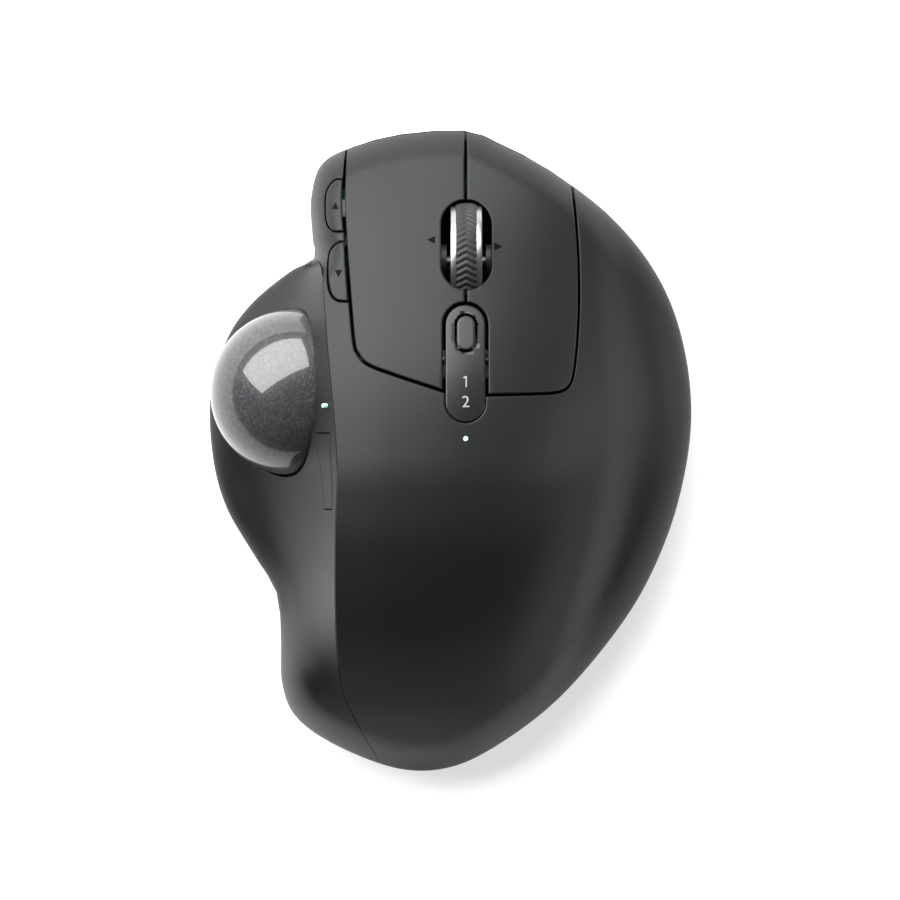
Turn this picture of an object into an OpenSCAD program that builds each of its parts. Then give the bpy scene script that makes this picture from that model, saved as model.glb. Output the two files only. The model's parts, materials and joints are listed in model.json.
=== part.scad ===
// Thumb trackball mouse for the right hand.
// X runs from the thumb side to the outer side, Y to the button end, Z up. The origin is under
// the middle of the body, on the desk. All sizes are in millimetres and degrees.

/* [Body] */
// Overall length, rear to button end
body_length = 132.5; // [118:0.5:159]
// Overall width, thumb side to outer side
body_width = 99.6; // [90:0.1:120]
// Height of the highest point above the desk
body_height = 51.4; // [46:0.1:62]
// Wall of the casings
wall = 2; // [1.6:0.1:2.4]
// Width of the rolled edge round the crown
edge_roll = 6.5; // [5:0.1:8]
// Width of the rolled edge under the thumb
thumb_roll = 4; // [3:0.1:5]
// How far the underside tucks in from the widest line
tuck = 9; // [7:0.5:11]
// Seam between casings, keys and buttons
seam = 0.5; // [0.4:0.05:0.7]

/* [Ball] */
// Diameter of the thumb ball
ball_d = 34; // [32:0.5:36]
// Distance from the body's thumb-side edge to the ball
ball_margin = 0.7; // [0.5:0.1:2]
// Place of the ball along the body
ball_y = 12.2; // [8:0.1:16]
// Angle of the ball's opening above level
ball_tilt = 36; // [30:1:42]
// Gap between ball and opening
ball_gap = 0.35; // [0.3:0.05:0.6]
// Gap between ball and cup
cup_gap = 0.8; // [0.6:0.1:1.2]
// Wall of the cup
cup_wall = 1.6; // [1.4:0.1:2]
// Diameter of the support bearings
bearing_d = 2.5; // [2:0.1:3]
// Diameter of the hole that the ball is pushed out through
eject_d = 9; // [8:0.5:10]

/* [Wheel] */
// Diameter of the scroll wheel over its tyre
wheel_d = 24; // [22:0.5:26]
// Width of the rubber tyre
tyre_w = 4.2; // [3.6:0.1:4.6]
// Width of each metal rim
rim_w = 1.1; // [0.8:0.1:1.3]
// Length of wheel seen in its slot
wheel_chord = 16.8; // [15:0.1:18]
// Place of the wheel across the body
wheel_x = 3.2; // [1:0.1:5]
// Place of the wheel along the body
wheel_y = 42; // [40:0.1:44]
// Length of the wheel slot
slot_length = 18.6; // [18:0.1:20]
// Width of the wheel slot
slot_width = 10.2; // [9.6:0.1:11]
// Diameter of the wheel axle
axle_d = 2.4; // [2:0.1:3]
// Air between the wheel and the keys round it
wheel_air = 0.7; // [0.4:0.1:0.8]

/* [Keys] */
// Thickness of the main keys
key_wall = 2; // [1.6:0.1:2.4]
// Place of the key pivots along the body
key_pivot_y = 18.5; // [17:0.1:20]
// Depth of the key pivots under the crown
key_pivot_drop = 6; // [5.5:0.1:7]
// Diameter of the key pivot pins
key_pin_d = 1.6; // [1.4:0.1:2]
// Travel of a main key at its switch
key_travel = 0.9; // [0.6:0.1:1.1]
// Travel of the small buttons
button_travel = 0.6; // [0.4:0.05:0.7]
// Travel of the wheel when it is pressed
wheel_travel = 0.8; // [0.6:0.1:0.9]
// Air left between a plunger and its switch at full travel
nub_air = 0.05; // [0.03:0.01:0.1]

/* [Base] */
// Thickness of the rubber pad
pad_h = 1.2; // [1:0.1:1.6]
// Thickness of the steel plate
plate_h = 1.5; // [1.2:0.1:2]
// Air between plate and body
plate_air = 0.3; // [0.25:0.05:0.5]
// Distance of the tilt pivot from the middle
pivot_x = 20; // [19:0.5:22]
// Height of the tilt pivot over the underside
pivot_rise = 2; // [1.8:0.1:2.4]
// Angle of the second facet of the underside
facet_angle = 20.5; // [20.3:0.1:21]
// Air under the outer edge when the body is tilted
facet_clear = 0.4; // [0.3:0.05:0.6]
// Diameter of the tilt pivot pins
pivot_pin_d = 1.6; // [1.4:0.1:2]

/* [Inside] */
// Thickness of the circuit boards
board_h = 1.6; // [1:0.1:1.8]
// Length of the battery
battery_l = 44; // [36:1:48]
// Width of the battery
battery_w = 28; // [24:1:30]
// Thickness of the battery
battery_h = 5.5; // [4:0.5:7]
// Diameter of the case screws
screw_d = 2; // [1.8:0.1:2.5]
// Running clearance of pins and shafts, on the radius
run_fit = 0.05; // [0.03:0.01:0.08]

/* [Hidden] */

// Plan of the widest line, anticlockwise from the button end, at the usual size
plan = [
    [3, 65.9], [-10, 65.2], [-19.9, 62.6], [-26.4, 59], [-28.6, 52], [-28.3, 44], [-28, 39.7],
    [-33, 37], [-40.8, 30.6], [-46, 23.2], [-49.4, 12], [-49, -1], [-46.2, -11.5],
    [-40.4, -21.5], [-35.9, -29], [-35, -38], [-34.7, -48], [-31.5, -55.2], [-22.6, -61.2],
    [-10.5, -65.6], [0, -65.3], [10, -60.6], [22, -51.5], [33, -39], [41, -26.5], [47, -11],
    [49.8, 6], [48.2, 22], [43, 35.8], [33.4, 48], [20.4, 57.9], [10.2, 63.3]];
// Line where the crown meets the thumb side, from the notch to the rear
ridge_line = [
    [-27.7, 39.6], [-26.1, 37.4], [-25.5, 33], [-25, 27], [-24.5, 21], [-23, 6], [-22.4, -4],
    [-22.8, -14], [-23, -30], [-22.6, -41], [-21.5, -49], [-18, -57], [-13, -67]];
// Height along the top of the crown: [share of half the length, share of the height]
crown_line = [
    [-1, 0.2], [-0.91, 0.37], [-0.76, 0.584], [-0.53, 0.827], [-0.3, 0.963], [-0.12, 1],
    [0, 0.99], [0.23, 0.925], [0.45, 0.818], [0.68, 0.682], [0.91, 0.506], [1, 0.428]];
// Fall across the crown: [share of the way to the outer side, share of the height]
crown_fall = [
    [-0.6, 0.84], [-0.2, 0.965], [0, 1], [0.25, 0.955], [0.5, 0.8], [0.7, 0.53], [0.82, 0.29],
    [0.9, 0.2], [1, 0.12]];
// Line that the outer flank runs down to: [share of half the length, X]
flank_line = [
    [-1, 20], [-0.76, 29.5], [-0.53, 37.5], [-0.3, 44], [-0.15, 47], [0, 49], [0.15, 49.6],
    [0.3, 48.6], [0.53, 46.5], [0.76, 43.5], [1, 40]];
// Hollowness of the thumb side: [share of half the length, power]
thumb_hollow = [
    [-0.8, 1.1], [-0.5, 1.5], [-0.3, 2.1], [-0.1, 2.2], [0.05, 1.6], [0.18, 1.35],
    [0.32, 1.35], [0.45, 1.8], [0.58, 2.6]];

function mix(a, b, t) = a + (b - a) * t;
function clamp(v, low, high) = min(max(v, low), high);
function ease(t) = let (u = clamp(t, 0, 1)) u * u * (3 - 2 * u);

// Smooth curve through a table of [key, value], level beyond its ends
function gap_of(v, table, i = 0) =
    i >= len(table) - 2 || v < table[i + 1][0] ? i : gap_of(v, table, i + 1);
function slope_at(table, i) =
    let (a = table[max(i - 1, 0)], b = table[min(i + 1, len(table) - 1)])
    (b[1] - a[1]) / (b[0] - a[0]);
function curve(v, table) =
    let (w = clamp(v, table[0][0], table[len(table) - 1][0]))
    let (i = gap_of(w, table), a = table[i], b = table[i + 1])
    let (h = b[0] - a[0], t = (w - a[0]) / h)
    (2 * t ^ 3 - 3 * t ^ 2 + 1) * a[1] + (t ^ 3 - 2 * t ^ 2 + t) * h * slope_at(table, i)
    + (3 * t ^ 2 - 2 * t ^ 3) * b[1] + (t ^ 3 - t ^ 2) * h * slope_at(table, i + 1);

// Closed smooth line through a list of points
function loop_point(points, i, t) =
    let (n = len(points))
    let (a = points[(i + n - 1) % n], b = points[i], c = points[(i + 1) % n])
    let (d = points[(i + 2) % n])
    b + t * (c - a) / 2 + t ^ 2 * (a - 2.5 * b + 2 * c - d / 2)
    + t ^ 3 * (1.5 * b - 1.5 * c + (d - a) / 2);
function loop_line(points, steps) =
    [for (i = [0:len(points) - 1], k = [0:steps - 1]) loop_point(points, i, k / steps)];

// The plan, stretched to the overall sizes and centred
raw_rim = loop_line(plan, 2);
raw_x = [for (p = raw_rim) p.x];
raw_y = [for (p = raw_rim) p.y];
stretch = [body_width / (max(raw_x) - min(raw_x)), body_length / (max(raw_y) - min(raw_y))];
middle = [max(raw_x) + min(raw_x), max(raw_y) + min(raw_y)] / 2;
function placed(p) = [(p.x - middle.x) * stretch.x, (p.y - middle.y) * stretch.y];
rim = [for (p = raw_rim) placed(p)];
rim_n = len(rim);
half_length = body_length / 2;

// Distance from the middle to the rim's tangent at each rim point
function rim_normal(i) =
    let (t = rim[(i + 1) % rim_n] - rim[(i + rim_n - 1) % rim_n]) [t.y, -t.x] / norm(t);
reach = [for (i = [0:rim_n - 1]) rim[i] * rim_normal(i)];

// Heights of the casing
floor_z = pad_h + plate_h + plate_air;
inner_floor_z = floor_z + wall;
edge_mid_z = 12;
edge_rise = 0.06;
function edge_z(y) = edge_mid_z + edge_rise * y;
crown_x = -12;
flank_rise = 1.5;
function crown_span(y) = curve(y / half_length, flank_line) * stretch.x - crown_x;
function crown(x, y) =
    let (low = edge_z(y) + flank_rise)
    mix(low, body_height * curve(y / half_length, crown_line),
        curve((x - crown_x) / crown_span(y), crown_fall));
function roll(t) = sqrt(1 - (1 - clamp(t, 0, 1)) ^ 2);
function crown_z(p, d, drop) =
    let (e = edge_z(p.y)) e + (crown(p.x, p.y) - drop - e) * roll(d / edge_roll);
// The thumb side falls from the ridge to a lip over the rim
ridge_table = [for (i = [len(ridge_line) - 1:-1:0]) let (p = placed(ridge_line[i])) [p.y, p.x]];
function ridge_x(y) = curve(y, ridge_table);
thumb_lip = 4;
thumb_front_y = 38;
notch_y = placed(ridge_line[0]).y;
thumb_rear_y = -30;
thumb_blend = 20;
function hollow_z(p, d, drop) =
    let (e = edge_z(p.y), rx = ridge_x(p.y), u = rx - p.x, q = u / (abs(u) + d + 0.01))
    let (low = e + thumb_lip, top = crown(rx, p.y))
    let (bare = low + (top - low) * (1 - q) ^ curve(p.y / half_length, thumb_hollow))
    e + (bare - drop - e) * roll(d / thumb_roll);
function thumb_z(p, d, drop) =
    let (rear = ease((p.y - thumb_rear_y + thumb_blend) / thumb_blend))
    let (front = 1 - ease((p.y - thumb_front_y * stretch.y) / 2))
    mix(crown_z(p, d, drop), hollow_z(p, d, drop), rear * front);

rings = [1, 0.995, 0.98, 0.955, 0.92, 0.875, 0.815, 0.74, 0.65, 0.55, 0.44, 0.3];
bowl_levels = [0, 0.3, 0.55, 0.75, 0.9, 1];

// Faces of a stack of rings of n points: walls go from each ring to the next
function wall_faces(n, from, to) =
    [for (j = [from:to - 1], i = [0:n - 1], half = [0, 1])
        let (a = j * n + i, b = j * n + (i + 1) % n, c = a + n, d = b + n)
        half == 0 ? [a, c, d] : [a, d, b]];

// Solid under a height function, inset from the rim, with a skirt below the parting plane
module dome(height, inset, drop, skirt) {
    skirts = skirt > 0 ? [skirt] : [];
    straight = skirt > 0 ? 0.4 : 0;
    steps = len(rings) + len(skirts);
    points = concat(
        [for (s = skirts, i = [0:rim_n - 1])
            let (p = rim[i] * (1 - inset / reach[i])) [p.x, p.y, edge_z(p.y) - s]],
        [for (r = rings, i = [0:rim_n - 1])
            let (p = rim[i] * (1 - inset / reach[i]) * r)
            [p.x, p.y, max(height(p, (1 - r) * (reach[i] - inset), drop), edge_z(p.y) + straight)]],
        [[0, 0, height([0, 0], half_length, drop)]]);
    last = (steps - 1) * rim_n;
    faces = concat(
        [[for (i = [0:rim_n - 1]) i]],
        wall_faces(rim_n, 0, steps - 1),
        [for (i = [0:rim_n - 1]) [last + i, steps * rim_n, last + (i + 1) % rim_n]]);
    polyhedron(points, faces, convexity = 6);
}

// Solid of the lower casing, inset from its outside, with its open top raised
module bowl(inset, raised) {
    lifts = raised > 0 ? [raised] : [];
    straight = raised > 0 ? 0.4 : 0;
    steps = len(bowl_levels) + len(lifts);
    points = concat(
        [for (s = lifts, i = [0:rim_n - 1])
            let (p = rim[i] * (1 - inset / reach[i])) [p.x, p.y, edge_z(p.y) + s]],
        [for (v = bowl_levels, i = [0:rim_n - 1])
            let (p = rim[i] * (1 - (inset + tuck * (1 - sqrt(1 - v * v))) / reach[i]))
            [p.x, p.y, mix(edge_z(p.y) - straight, floor_z + inset, v)]]);
    faces = concat(
        [[for (i = [rim_n - 1:-1:0]) i]],
        [for (f = wall_faces(rim_n, 0, steps - 1)) [f[0], f[2], f[1]]],
        [[for (i = [0:rim_n - 1]) (steps - 1) * rim_n + i]]);
    polyhedron(points, faces, convexity = 6);
}

// Joins freeform casings with what is moulded onto them
module moulded() {
    resize([0, 0, 0]) union() children();
}

module plan_block(points, z0 = 0, z1 = body_height + 10) {
    translate([0, 0, z0]) linear_extrude(z1 - z0) polygon(points);
}

module pill(length, width, height) {
    linear_extrude(height) {
        square([width, length - width], center = true);
        for (s = [-1, 1]) translate([0, s * (length - width) / 2]) circle(d = width, $fn = 48);
    }
}

module x_rod(d, length, at) {
    translate(at) rotate([0, 90, 0]) cylinder(d = d, h = length, center = true, $fn = 48);
}

module y_rod(d, length, at) {
    translate(at) rotate([90, 0, 0]) cylinder(d = d, h = length, center = true, $fn = 48);
}

module block(size, at) {
    translate(at) cube(size, center = true);
}

// Height of the crown over a place in plan
function top_at(p) = crown(p.x, p.y);

// Outlines of the keys, in plan
far = body_length;
key_seam_x = 3.2;
left_key_plan = [
    [key_seam_x + seam / 2, far], [-21.5, far], [-21.5, 61.6], [-21.8, 52], [-21.3, 42.8],
    [-20.3, 30.5], [-19.4, 21.6], [-18.6, 19.4], [-17.2, 17.6], [-15, 16.4], [-0.9, 11.6],
    [key_seam_x + seam / 2, 10]];
right_key_plan = [
    [25.2, far], [key_seam_x - seam / 2, far], [key_seam_x - seam / 2, 11], [8, 11],
    [21, 11.5], [23.4, 12.3], [24.8, 14.2], [25.6, 18.5], [26.3, 27], [26.4, 37], [26, 46],
    [25.3, 54.5]];
strip_x = 3;
strip_y = 17.75;
strip_length = 23.9;
strip_width = 8.2;
mode_y = 23.9;
mode_length = 7.2;
mode_width = 3.9;
digit_ys = [14.1, 10.1];
digit_length = 2.6;
digit_width = 1.8;
status_light_at = [3, 2.7];
status_light_d = 1;
forward_plan = [[-21.6, 55.4], [-23.6, 55.2], [-25.2, 53], [-25.5, 50], [-25.2, 46.4],
    [-23.8, 44.4], [-21.4, 44.2]];
back_plan = [[-21.1, 42.4], [-22.6, 42.2], [-24.4, 40.4], [-24.8, 36.5], [-24.3, 32.2],
    [-22.8, 30.2], [-20.3, 29.9]];

function shifted(points, by) = [for (p = points) placed(p) + by];

module key_area(points) {
    polygon([for (p = points) placed(p)]);
}

// Frame of the ball: its middle, and the way that its opening faces
ball_r = ball_d / 2;
ball_at = [-body_width / 2 + ball_margin + ball_r, ball_y,
    inner_floor_z + 0.3 + cup_wall + cup_gap + ball_r];
cup_r = ball_r + cup_gap;

module facing_ball() {
    translate(ball_at) rotate([0, ball_tilt - 90, 0]) children();
}

// Where each thing under the crown sits
wheel_r = wheel_d / 2;
wheel_slope = atan((top_at([wheel_x, wheel_y - 6]) - top_at([wheel_x, wheel_y + 6])) / 12);
wheel_depth = sqrt(wheel_r ^ 2 - (wheel_chord / 2 / cos(wheel_slope)) ^ 2);
wheel_at = [wheel_x, wheel_y - wheel_depth * sin(wheel_slope),
    top_at([wheel_x, wheel_y]) - wheel_depth * cos(wheel_slope)];
pivot_at = [pivot_x, 0, floor_z + pivot_rise];
pivot_ys = [33, -24];
strip_wall = 1.8;
tongue_wall = 1.4;
key_wide = 8;
key_pin_l = 2 * key_wide + 1.6;
screw_small_d = 1.6;
key_pivots = [[-10, key_pivot_y], [15.5, key_pivot_y]];
left_switch_at = [-12.5, 50];
right_switch_at = [19.5, 44];
key_board_z = 13;
switch_h = 6.5;
switch_nub = 0.4;
click_top = key_board_z + board_h + switch_h + switch_nub;
main_board_z = inner_floor_z + 3.2;
main_board_min = [-7, -42];
main_board_max = [24, 13];
battery_z = main_board_z + board_h + 3.6;
battery_at = [10, -15];
small_switch_h = 3.5;
small_nub = 0.4;
side_board_z = 21;
side_switch_ys = [49.8, 36.2];
side_x = -23;
boss_d = 6;
case_bosses = [[-22, -45], [8, -47], [35, -8], [34, 25]];
thumb_boss = [-31, -15];
boss_split_z = 15;
screw_head_d = 3.8;
screw_head_h = 1.4;
screw_length = 10;
port_x = -9;
port_size = [9, 7.4, 3.3];
port_z = 8.6;
charge_board_h = 1.2;
charge_board_z = port_z - charge_board_h - 0.04;
power_at = [2, 54];
power_travel = 2.6;
power_slider_l = 3.4;
magnet_d = 8;
magnet_h = 1.5;
magnet_places = [[-14, 34], [-15, -26], [4, -10]];
facet_magnet_ys = [5, 18];
cradle_w = 17.6;
cradle_l = wheel_d + 9;
wheel_switch_at = [wheel_x, wheel_at.y - cradle_l / 2 - 4.2];
rail_w = 2.6;
rail_h = 4;
yoke_w = 10.4;
yoke_wall = 1.2;
tilt_axis_z = wheel_at.z - wheel_r - 1.6;
tilt_pin_d = 1.8;
post_d = 1.8;

// ---- Base that lies on the desk ----

base_right_x = pivot_x + 13;
base_points = [
    [2, 51.5], [-11, 49], [-20, 42], [-29, 29], [-38, 17], [-38, 0], [-31, -15], [-24, -28],
    [-22, -42], [-13, -52], [0, -52], [13, -43], [25, -32], [34, -16], [36, 6], [34, 24],
    [26, 38], [15, 49]];
base_plan = [for (p = loop_line(base_points, 3))
    let (q = placed(p)) [min(q.x, base_right_x), q.y]];

module eject_hole(d, z0, z1) {
    translate([ball_at.x, ball_at.y, z0]) cylinder(d = d, h = z1 - z0, $fn = 48);
}

module base_pad() {
    color("#1b1c1e") difference() {
        plan_block(base_plan, 0, pad_h);
        eject_hole(eject_d + 3, -1, pad_h + 1);
    }
}

module base_plate() {
    ear_w = 2 * (pivot_rise - 0.15);
    color("#8b8f94") difference() {
        union() {
            plan_block(base_plan, pad_h, pad_h + plate_h);
            for (y = pivot_ys) {
                y_rod(ear_w, 3, [pivot_x, y, pivot_at.z]);
                block([ear_w * 0.8, 3, pivot_at.z - pad_h],
                    [pivot_x, y, (pivot_at.z + pad_h) / 2]);
            }
        }
        eject_hole(eject_d + 3, -1, floor_z);
        for (y = pivot_ys) y_rod(pivot_pin_d, 4, [pivot_x, y, pivot_at.z]);
    }
}

module pivot_pins() {
    color("#b9bcc0") for (y = pivot_ys) y_rod(pivot_pin_d, 7.4, [pivot_x, y, pivot_at.z]);
}

// ---- Tilting body: lower casing and its pivots ----

bracket_reach = 8;
cheek_gap = 4.2;
cheek_w = 1.4;
bracket_h = 2.6;
bracket_hole_x = pivot_x - bracket_reach + 2;
bracket_screw_d = 1.6;

module pivot_brackets() {
    color("#a4a8ad") difference() {
        for (y = pivot_ys) {
            for (s = [-1, 1]) translate([0, y + s * (cheek_gap + cheek_w) / 2, 0]) {
                y_rod(2 * (pivot_rise - 0.15), cheek_w, [pivot_x, 0, pivot_at.z]);
                block([bracket_reach, cheek_w, bracket_h],
                    [pivot_x - bracket_reach / 2, 0, inner_floor_z + 0.05 + bracket_h / 2]);
            }
            block([4, cheek_gap + 0.2, 1.2], [bracket_hole_x, y, inner_floor_z + 0.65]);
        }
        for (y = pivot_ys) {
            y_rod(pivot_pin_d + 2 * run_fit, 12, [pivot_x, y, pivot_at.z]);
            translate([bracket_hole_x, y, 0])
                cylinder(d = bracket_screw_d + 2 * run_fit, h = 20, $fn = 32);
        }
    }
}

module bracket_screws() {
    color("#6f7377") for (y = pivot_ys) translate([bracket_hole_x, y, 0]) {
        translate([0, 0, floor_z + 0.5])
            cylinder(d = bracket_screw_d, h = wall + 0.8, $fn = 32);
        translate([0, 0, inner_floor_z + 1.3]) cylinder(d = 3, h = 1, $fn = 32);
    }
}

// Everything under the second facet of the underside, raised by a wall. Past the base plate
// the facet steps down, so that the casing keeps a lip and still clears the desk when tilted.
module facet_plane(raised) {
    translate([pivot_x, -far, floor_z + raised / cos(facet_angle)])
        rotate([0, -facet_angle, 0]) translate([-20, 0, -40]) cube([120, 2 * far, 40]);
}

module facet_space(raised) {
    step_x = base_right_x + 1 + raised;
    intersection() {
        facet_plane(raised);
        translate([-far, -far, -far]) cube([step_x + far, 2 * far, 2 * far]);
    }
    facet_plane(raised - floor_z + facet_clear);
}

module lower_bowl(inset, raised) {
    difference() {
        bowl(inset, raised);
        facet_space(inset);
    }
}

// Height of the middle of the floor's thickness
function floor_at(p) = floor_z + wall / 2 + max(0, p.x - pivot_x) * tan(facet_angle);

module post(d, p, top) {
    translate([p.x, p.y, floor_at(p)]) cylinder(d = d, h = top - floor_at(p), $fn = 24);
}

// Openings along the body's length for the pivot's ears and brackets
module pivot_slots() {
    for (y = pivot_ys) block([7, cheek_gap + 2 * cheek_w + 0.8, 12], [pivot_x + 0.2, y, 2]);
}

board_posts = [[-4, -38], [21, -38], [-4, 9], [21, 9]];
key_board_posts = [[-15, 28], [22.5, 28], [-17.4, 53.2], [15, 49]];
charge_posts = [[-13, 47.4], [4.4, 47.4]];
side_post = [-22.6, 43];

module bottom_shell() {
    color("#26282a") difference() {
        moulded() {
            difference() {
                union() {
                    difference() {
                        lower_bowl(0, 0);
                        lower_bowl(wall, 1);
                    }
                    for (p = concat(case_bosses, [thumb_boss])) post(boss_d, p, boss_split_z);
                    for (p = board_posts) post(4, p, main_board_z);
                    for (p = key_board_posts) post(4, p, key_board_z);
                    for (p = charge_posts) post(4, p, charge_board_z);
                    for (s = [-1, 1]) post(4.4,
                        [wheel_x + s * (cradle_w - rail_w) / 2, wheel_at.y], tilt_axis_z - 6);
                    post(4.4, side_post, side_board_z);
                }
                pivot_slots();
                block([port_size.x + 0.6, 12, port_size.z + 0.6],
                    [port_x, half_length - 2, port_z + port_size.z / 2]);
                block([power_slider_l + power_travel + 1, 2.4, 8],
                    [power_at.x, power_at.y, floor_z]);
            }
        }
        eject_hole(eject_d, -1, floor_z + 20);
        for (p = concat(case_bosses, [thumb_boss])) translate([p.x, p.y, 0]) {
            cylinder(d = screw_d + 2 * run_fit, h = 40, $fn = 32);
            cylinder(d = screw_head_d + 0.3, h = boss_split_z - 2.5, $fn = 32);
        }
        for (y = pivot_ys) translate([bracket_hole_x, y, 0])
            cylinder(d = bracket_screw_d + 2 * run_fit, h = 20, $fn = 32);
        for (s = [-1, 1]) translate([wheel_x + s * (cradle_w - rail_w) / 2, wheel_at.y,
            inner_floor_z]) cylinder(d = post_d, h = 20, $fn = 32);
        for (p = concat(board_posts, key_board_posts, charge_posts, [side_post]))
            translate([p.x, p.y, inner_floor_z])
            cylinder(d = screw_small_d + 2 * run_fit, h = 20, $fn = 32);
    }
}

module body_magnets() {
    color("#c3c6ca") {
        for (p = magnet_places) translate([p.x, p.y, inner_floor_z])
            cylinder(d = magnet_d, h = magnet_h, $fn = 48);
        for (y = facet_magnet_ys)
            translate([pivot_x, y, floor_z + (wall + 0.02) / cos(facet_angle)])
                rotate([0, -facet_angle, 0]) translate([10, 0, 0])
                    cylinder(d = magnet_d, h = magnet_h, $fn = 48);
    }
}

// ---- Upper casings ----

crown_height = function(p, d, drop) crown_z(p, d, drop);
thumb_height = function(p, d, drop) thumb_z(p, d, drop);
crown_drop = 2.5;
thumb_drop = 3.6;

module crown_skin(thick, drop) {
    difference() {
        dome(crown_height, 0, 0, 0);
        dome(crown_height, thick, drop, 2);
    }
}

// The thumb's side of the ridge line, moved by a gap
module thumb_side(by) {
    polygon(concat(shifted(ridge_line, [by, by]), [[-far, -far], [-far, notch_y + by]]));
}

module full_height() {
    translate([0, 0, -5]) linear_extrude(body_height + 20) children();
}

module strip_area(grow) {
    translate([strip_x, strip_y]) {
        square([strip_width + 2 * grow, strip_length - strip_width], center = true);
        for (s = [-1, 1]) translate([0, s * (strip_length - strip_width) / 2])
            circle(d = strip_width + 2 * grow, $fn = 48);
    }
}

module slot_area() {
    translate([wheel_x, wheel_y]) {
        square([slot_width, slot_length - slot_width], center = true);
        for (s = [-1, 1]) translate([0, s * (slot_length - slot_width) / 2])
            circle(d = slot_width, $fn = 48);
    }
}

module mode_area(grow) {
    translate([strip_x + 0.1, mode_y]) {
        square([mode_width + 2 * grow, mode_length - mode_width], center = true);
        for (s = [-1, 1]) translate([0, s * (mode_length - mode_width) / 2])
            circle(d = mode_width + 2 * grow, $fn = 48);
    }
}

precision_y = -3.85;
precision_length = 15.1;
precision_h = 5.5;
precision_top = 3.6;
precision_z = crown(ridge_x(precision_y), precision_y) - precision_top - precision_h / 2;

module precision_block(grow) {
    block([12, precision_length + 2 * grow, precision_h + 2 * grow],
        [ridge_x(precision_y) - 4, precision_y, precision_z]);
}

// Ribs under the crown that hold the key pins
module key_arms() {
    for (p = key_pivots, s = [-1, 1])
        block([1.6, 17, 20], [p.x + s * key_wide, p.y - 6.5, top_at(p) - key_pivot_drop + 7]);
}

precision_rib_x = -13;
strip_pitch = atan((top_at([strip_x, 8]) - top_at([strip_x, 28])) / 20);
light_board_drop = 8.5;
light_board_h = 1;

// Frame square to the strip, z upwards from its face
module along_strip(y, z) {
    translate([strip_x, strip_y, top_at([strip_x, strip_y])]) rotate([-strip_pitch, 0, 0])
        translate([0, y / cos(strip_pitch), z]) children();
}

module top_shell() {
    color("#3c3e40") difference() {
        moulded() {
            difference() {
                union() {
                    difference() {
                        crown_skin(wall, crown_drop);
                        full_height() {
                            key_area(left_key_plan);
                            key_area(right_key_plan);
                            strip_area(0);
                        }
                    }
                    // Tongue that carries the status strip
                    intersection() {
                        difference() {
                            dome(crown_height, wall, strip_wall + 0.2, 2);
                            dome(crown_height, wall, strip_wall + 0.2 + tongue_wall, 2);
                        }
                        full_height() translate([strip_x, strip_y - 3])
                            square([strip_width - 2.6, strip_length - 1.4], center = true);
                    }
                    intersection() {
                        dome(crown_height, 0.5, 1, 2);
                        union() {
                            for (p = case_bosses) translate([p.x, p.y, boss_split_z + 0.1])
                                cylinder(d = boss_d, h = body_height, $fn = 32);
                            block([2, 9, 14], [precision_rib_x, precision_y, precision_z + 2]);
                        }
                    }
                    intersection() {
                        dome(crown_height, 0.5, 3.1, 2);
                        key_arms();
                    }
                    intersection() {
                        dome(crown_height, 0.5, 1, 2);
                        key_arms();
                        full_height() translate([-30, -20]) square([60, 30.5]);
                    }
                    // Posts from the tongue to the light board
                    for (y = [-8, 1]) along_strip(y, 0.05 - light_board_drop)
                        cylinder(d = 3, h = light_board_drop - 2.8, $fn = 24);
                }
                full_height() {
                    thumb_side(seam / 2);
                    for (b = [forward_plan, back_plan]) key_area(b);
                }
                full_height() mode_area(0.8);
            }
        }
        translate([status_light_at.x, status_light_at.y, 20])
            cylinder(d = status_light_d + 2 * run_fit, h = body_height, $fn = 32);
        for (p = key_pivots)
            x_rod(key_pin_d, key_pin_l, [p.x, p.y, top_at(p) - key_pivot_drop]);
        for (p = case_bosses) translate([p.x, p.y, boss_split_z - 1])
            cylinder(d = screw_d + 2 * run_fit, h = screw_length, $fn = 32);
    }
}

module thumb_shell() {
    color("#343638") difference() {
        moulded() {
            difference() {
                union() {
                    intersection() {
                        difference() {
                            dome(thumb_height, 0, 0, 0);
                            dome(thumb_height, wall, thumb_drop, 2);
                        }
                        full_height() thumb_side(0);
                    }
                    intersection() {
                        dome(thumb_height, 0.5, 1, 2);
                        translate([thumb_boss.x, thumb_boss.y, boss_split_z + 0.1])
                            cylinder(d = boss_d, h = body_height, $fn = 32);
                    }
                }
                precision_block(seam / 2);
                facing_ball() translate([0, 0, -3])
                    cylinder(r = ball_r + ball_gap, h = 60, $fn = 72);
                precision_light_place(run_fit, 4);
            }
        }
        translate([thumb_boss.x, thumb_boss.y, boss_split_z - 1])
            cylinder(d = screw_d + 2 * run_fit, h = screw_length, $fn = 32);
    }
}

module precision_light_place(grow, length) {
    y = 9.3;
    x = ridge_x(y) - 2.1;
    translate([x, y, thumb_z([x, y], half_length, 0)]) rotate([0, ball_tilt - 90, 0])
        translate([0, 0, -length]) cylinder(d = 0.8 + 2 * grow, h = length + 40 * grow, $fn = 32);
}

module precision_light() {
    color("#e8f4ec") precision_light_place(0, 0.9);
}

// ---- Keys and buttons ----

// Height of the under side of a plunger that ends just over its switch
function over_switch(top, travel) = top + travel + nub_air;

// Room under the front of the keys for their travel there
key_front_gap = 0.4 + key_travel * (half_length - key_pivot_y) / (right_switch_at.y - key_pivot_y);

module below_parting(raised) {
    translate([0, 0, edge_mid_z + raised]) rotate([atan(edge_rise), 0, 0])
        translate([-far, -far, -far]) cube([2 * far, 2 * far, far]);
}

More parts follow.
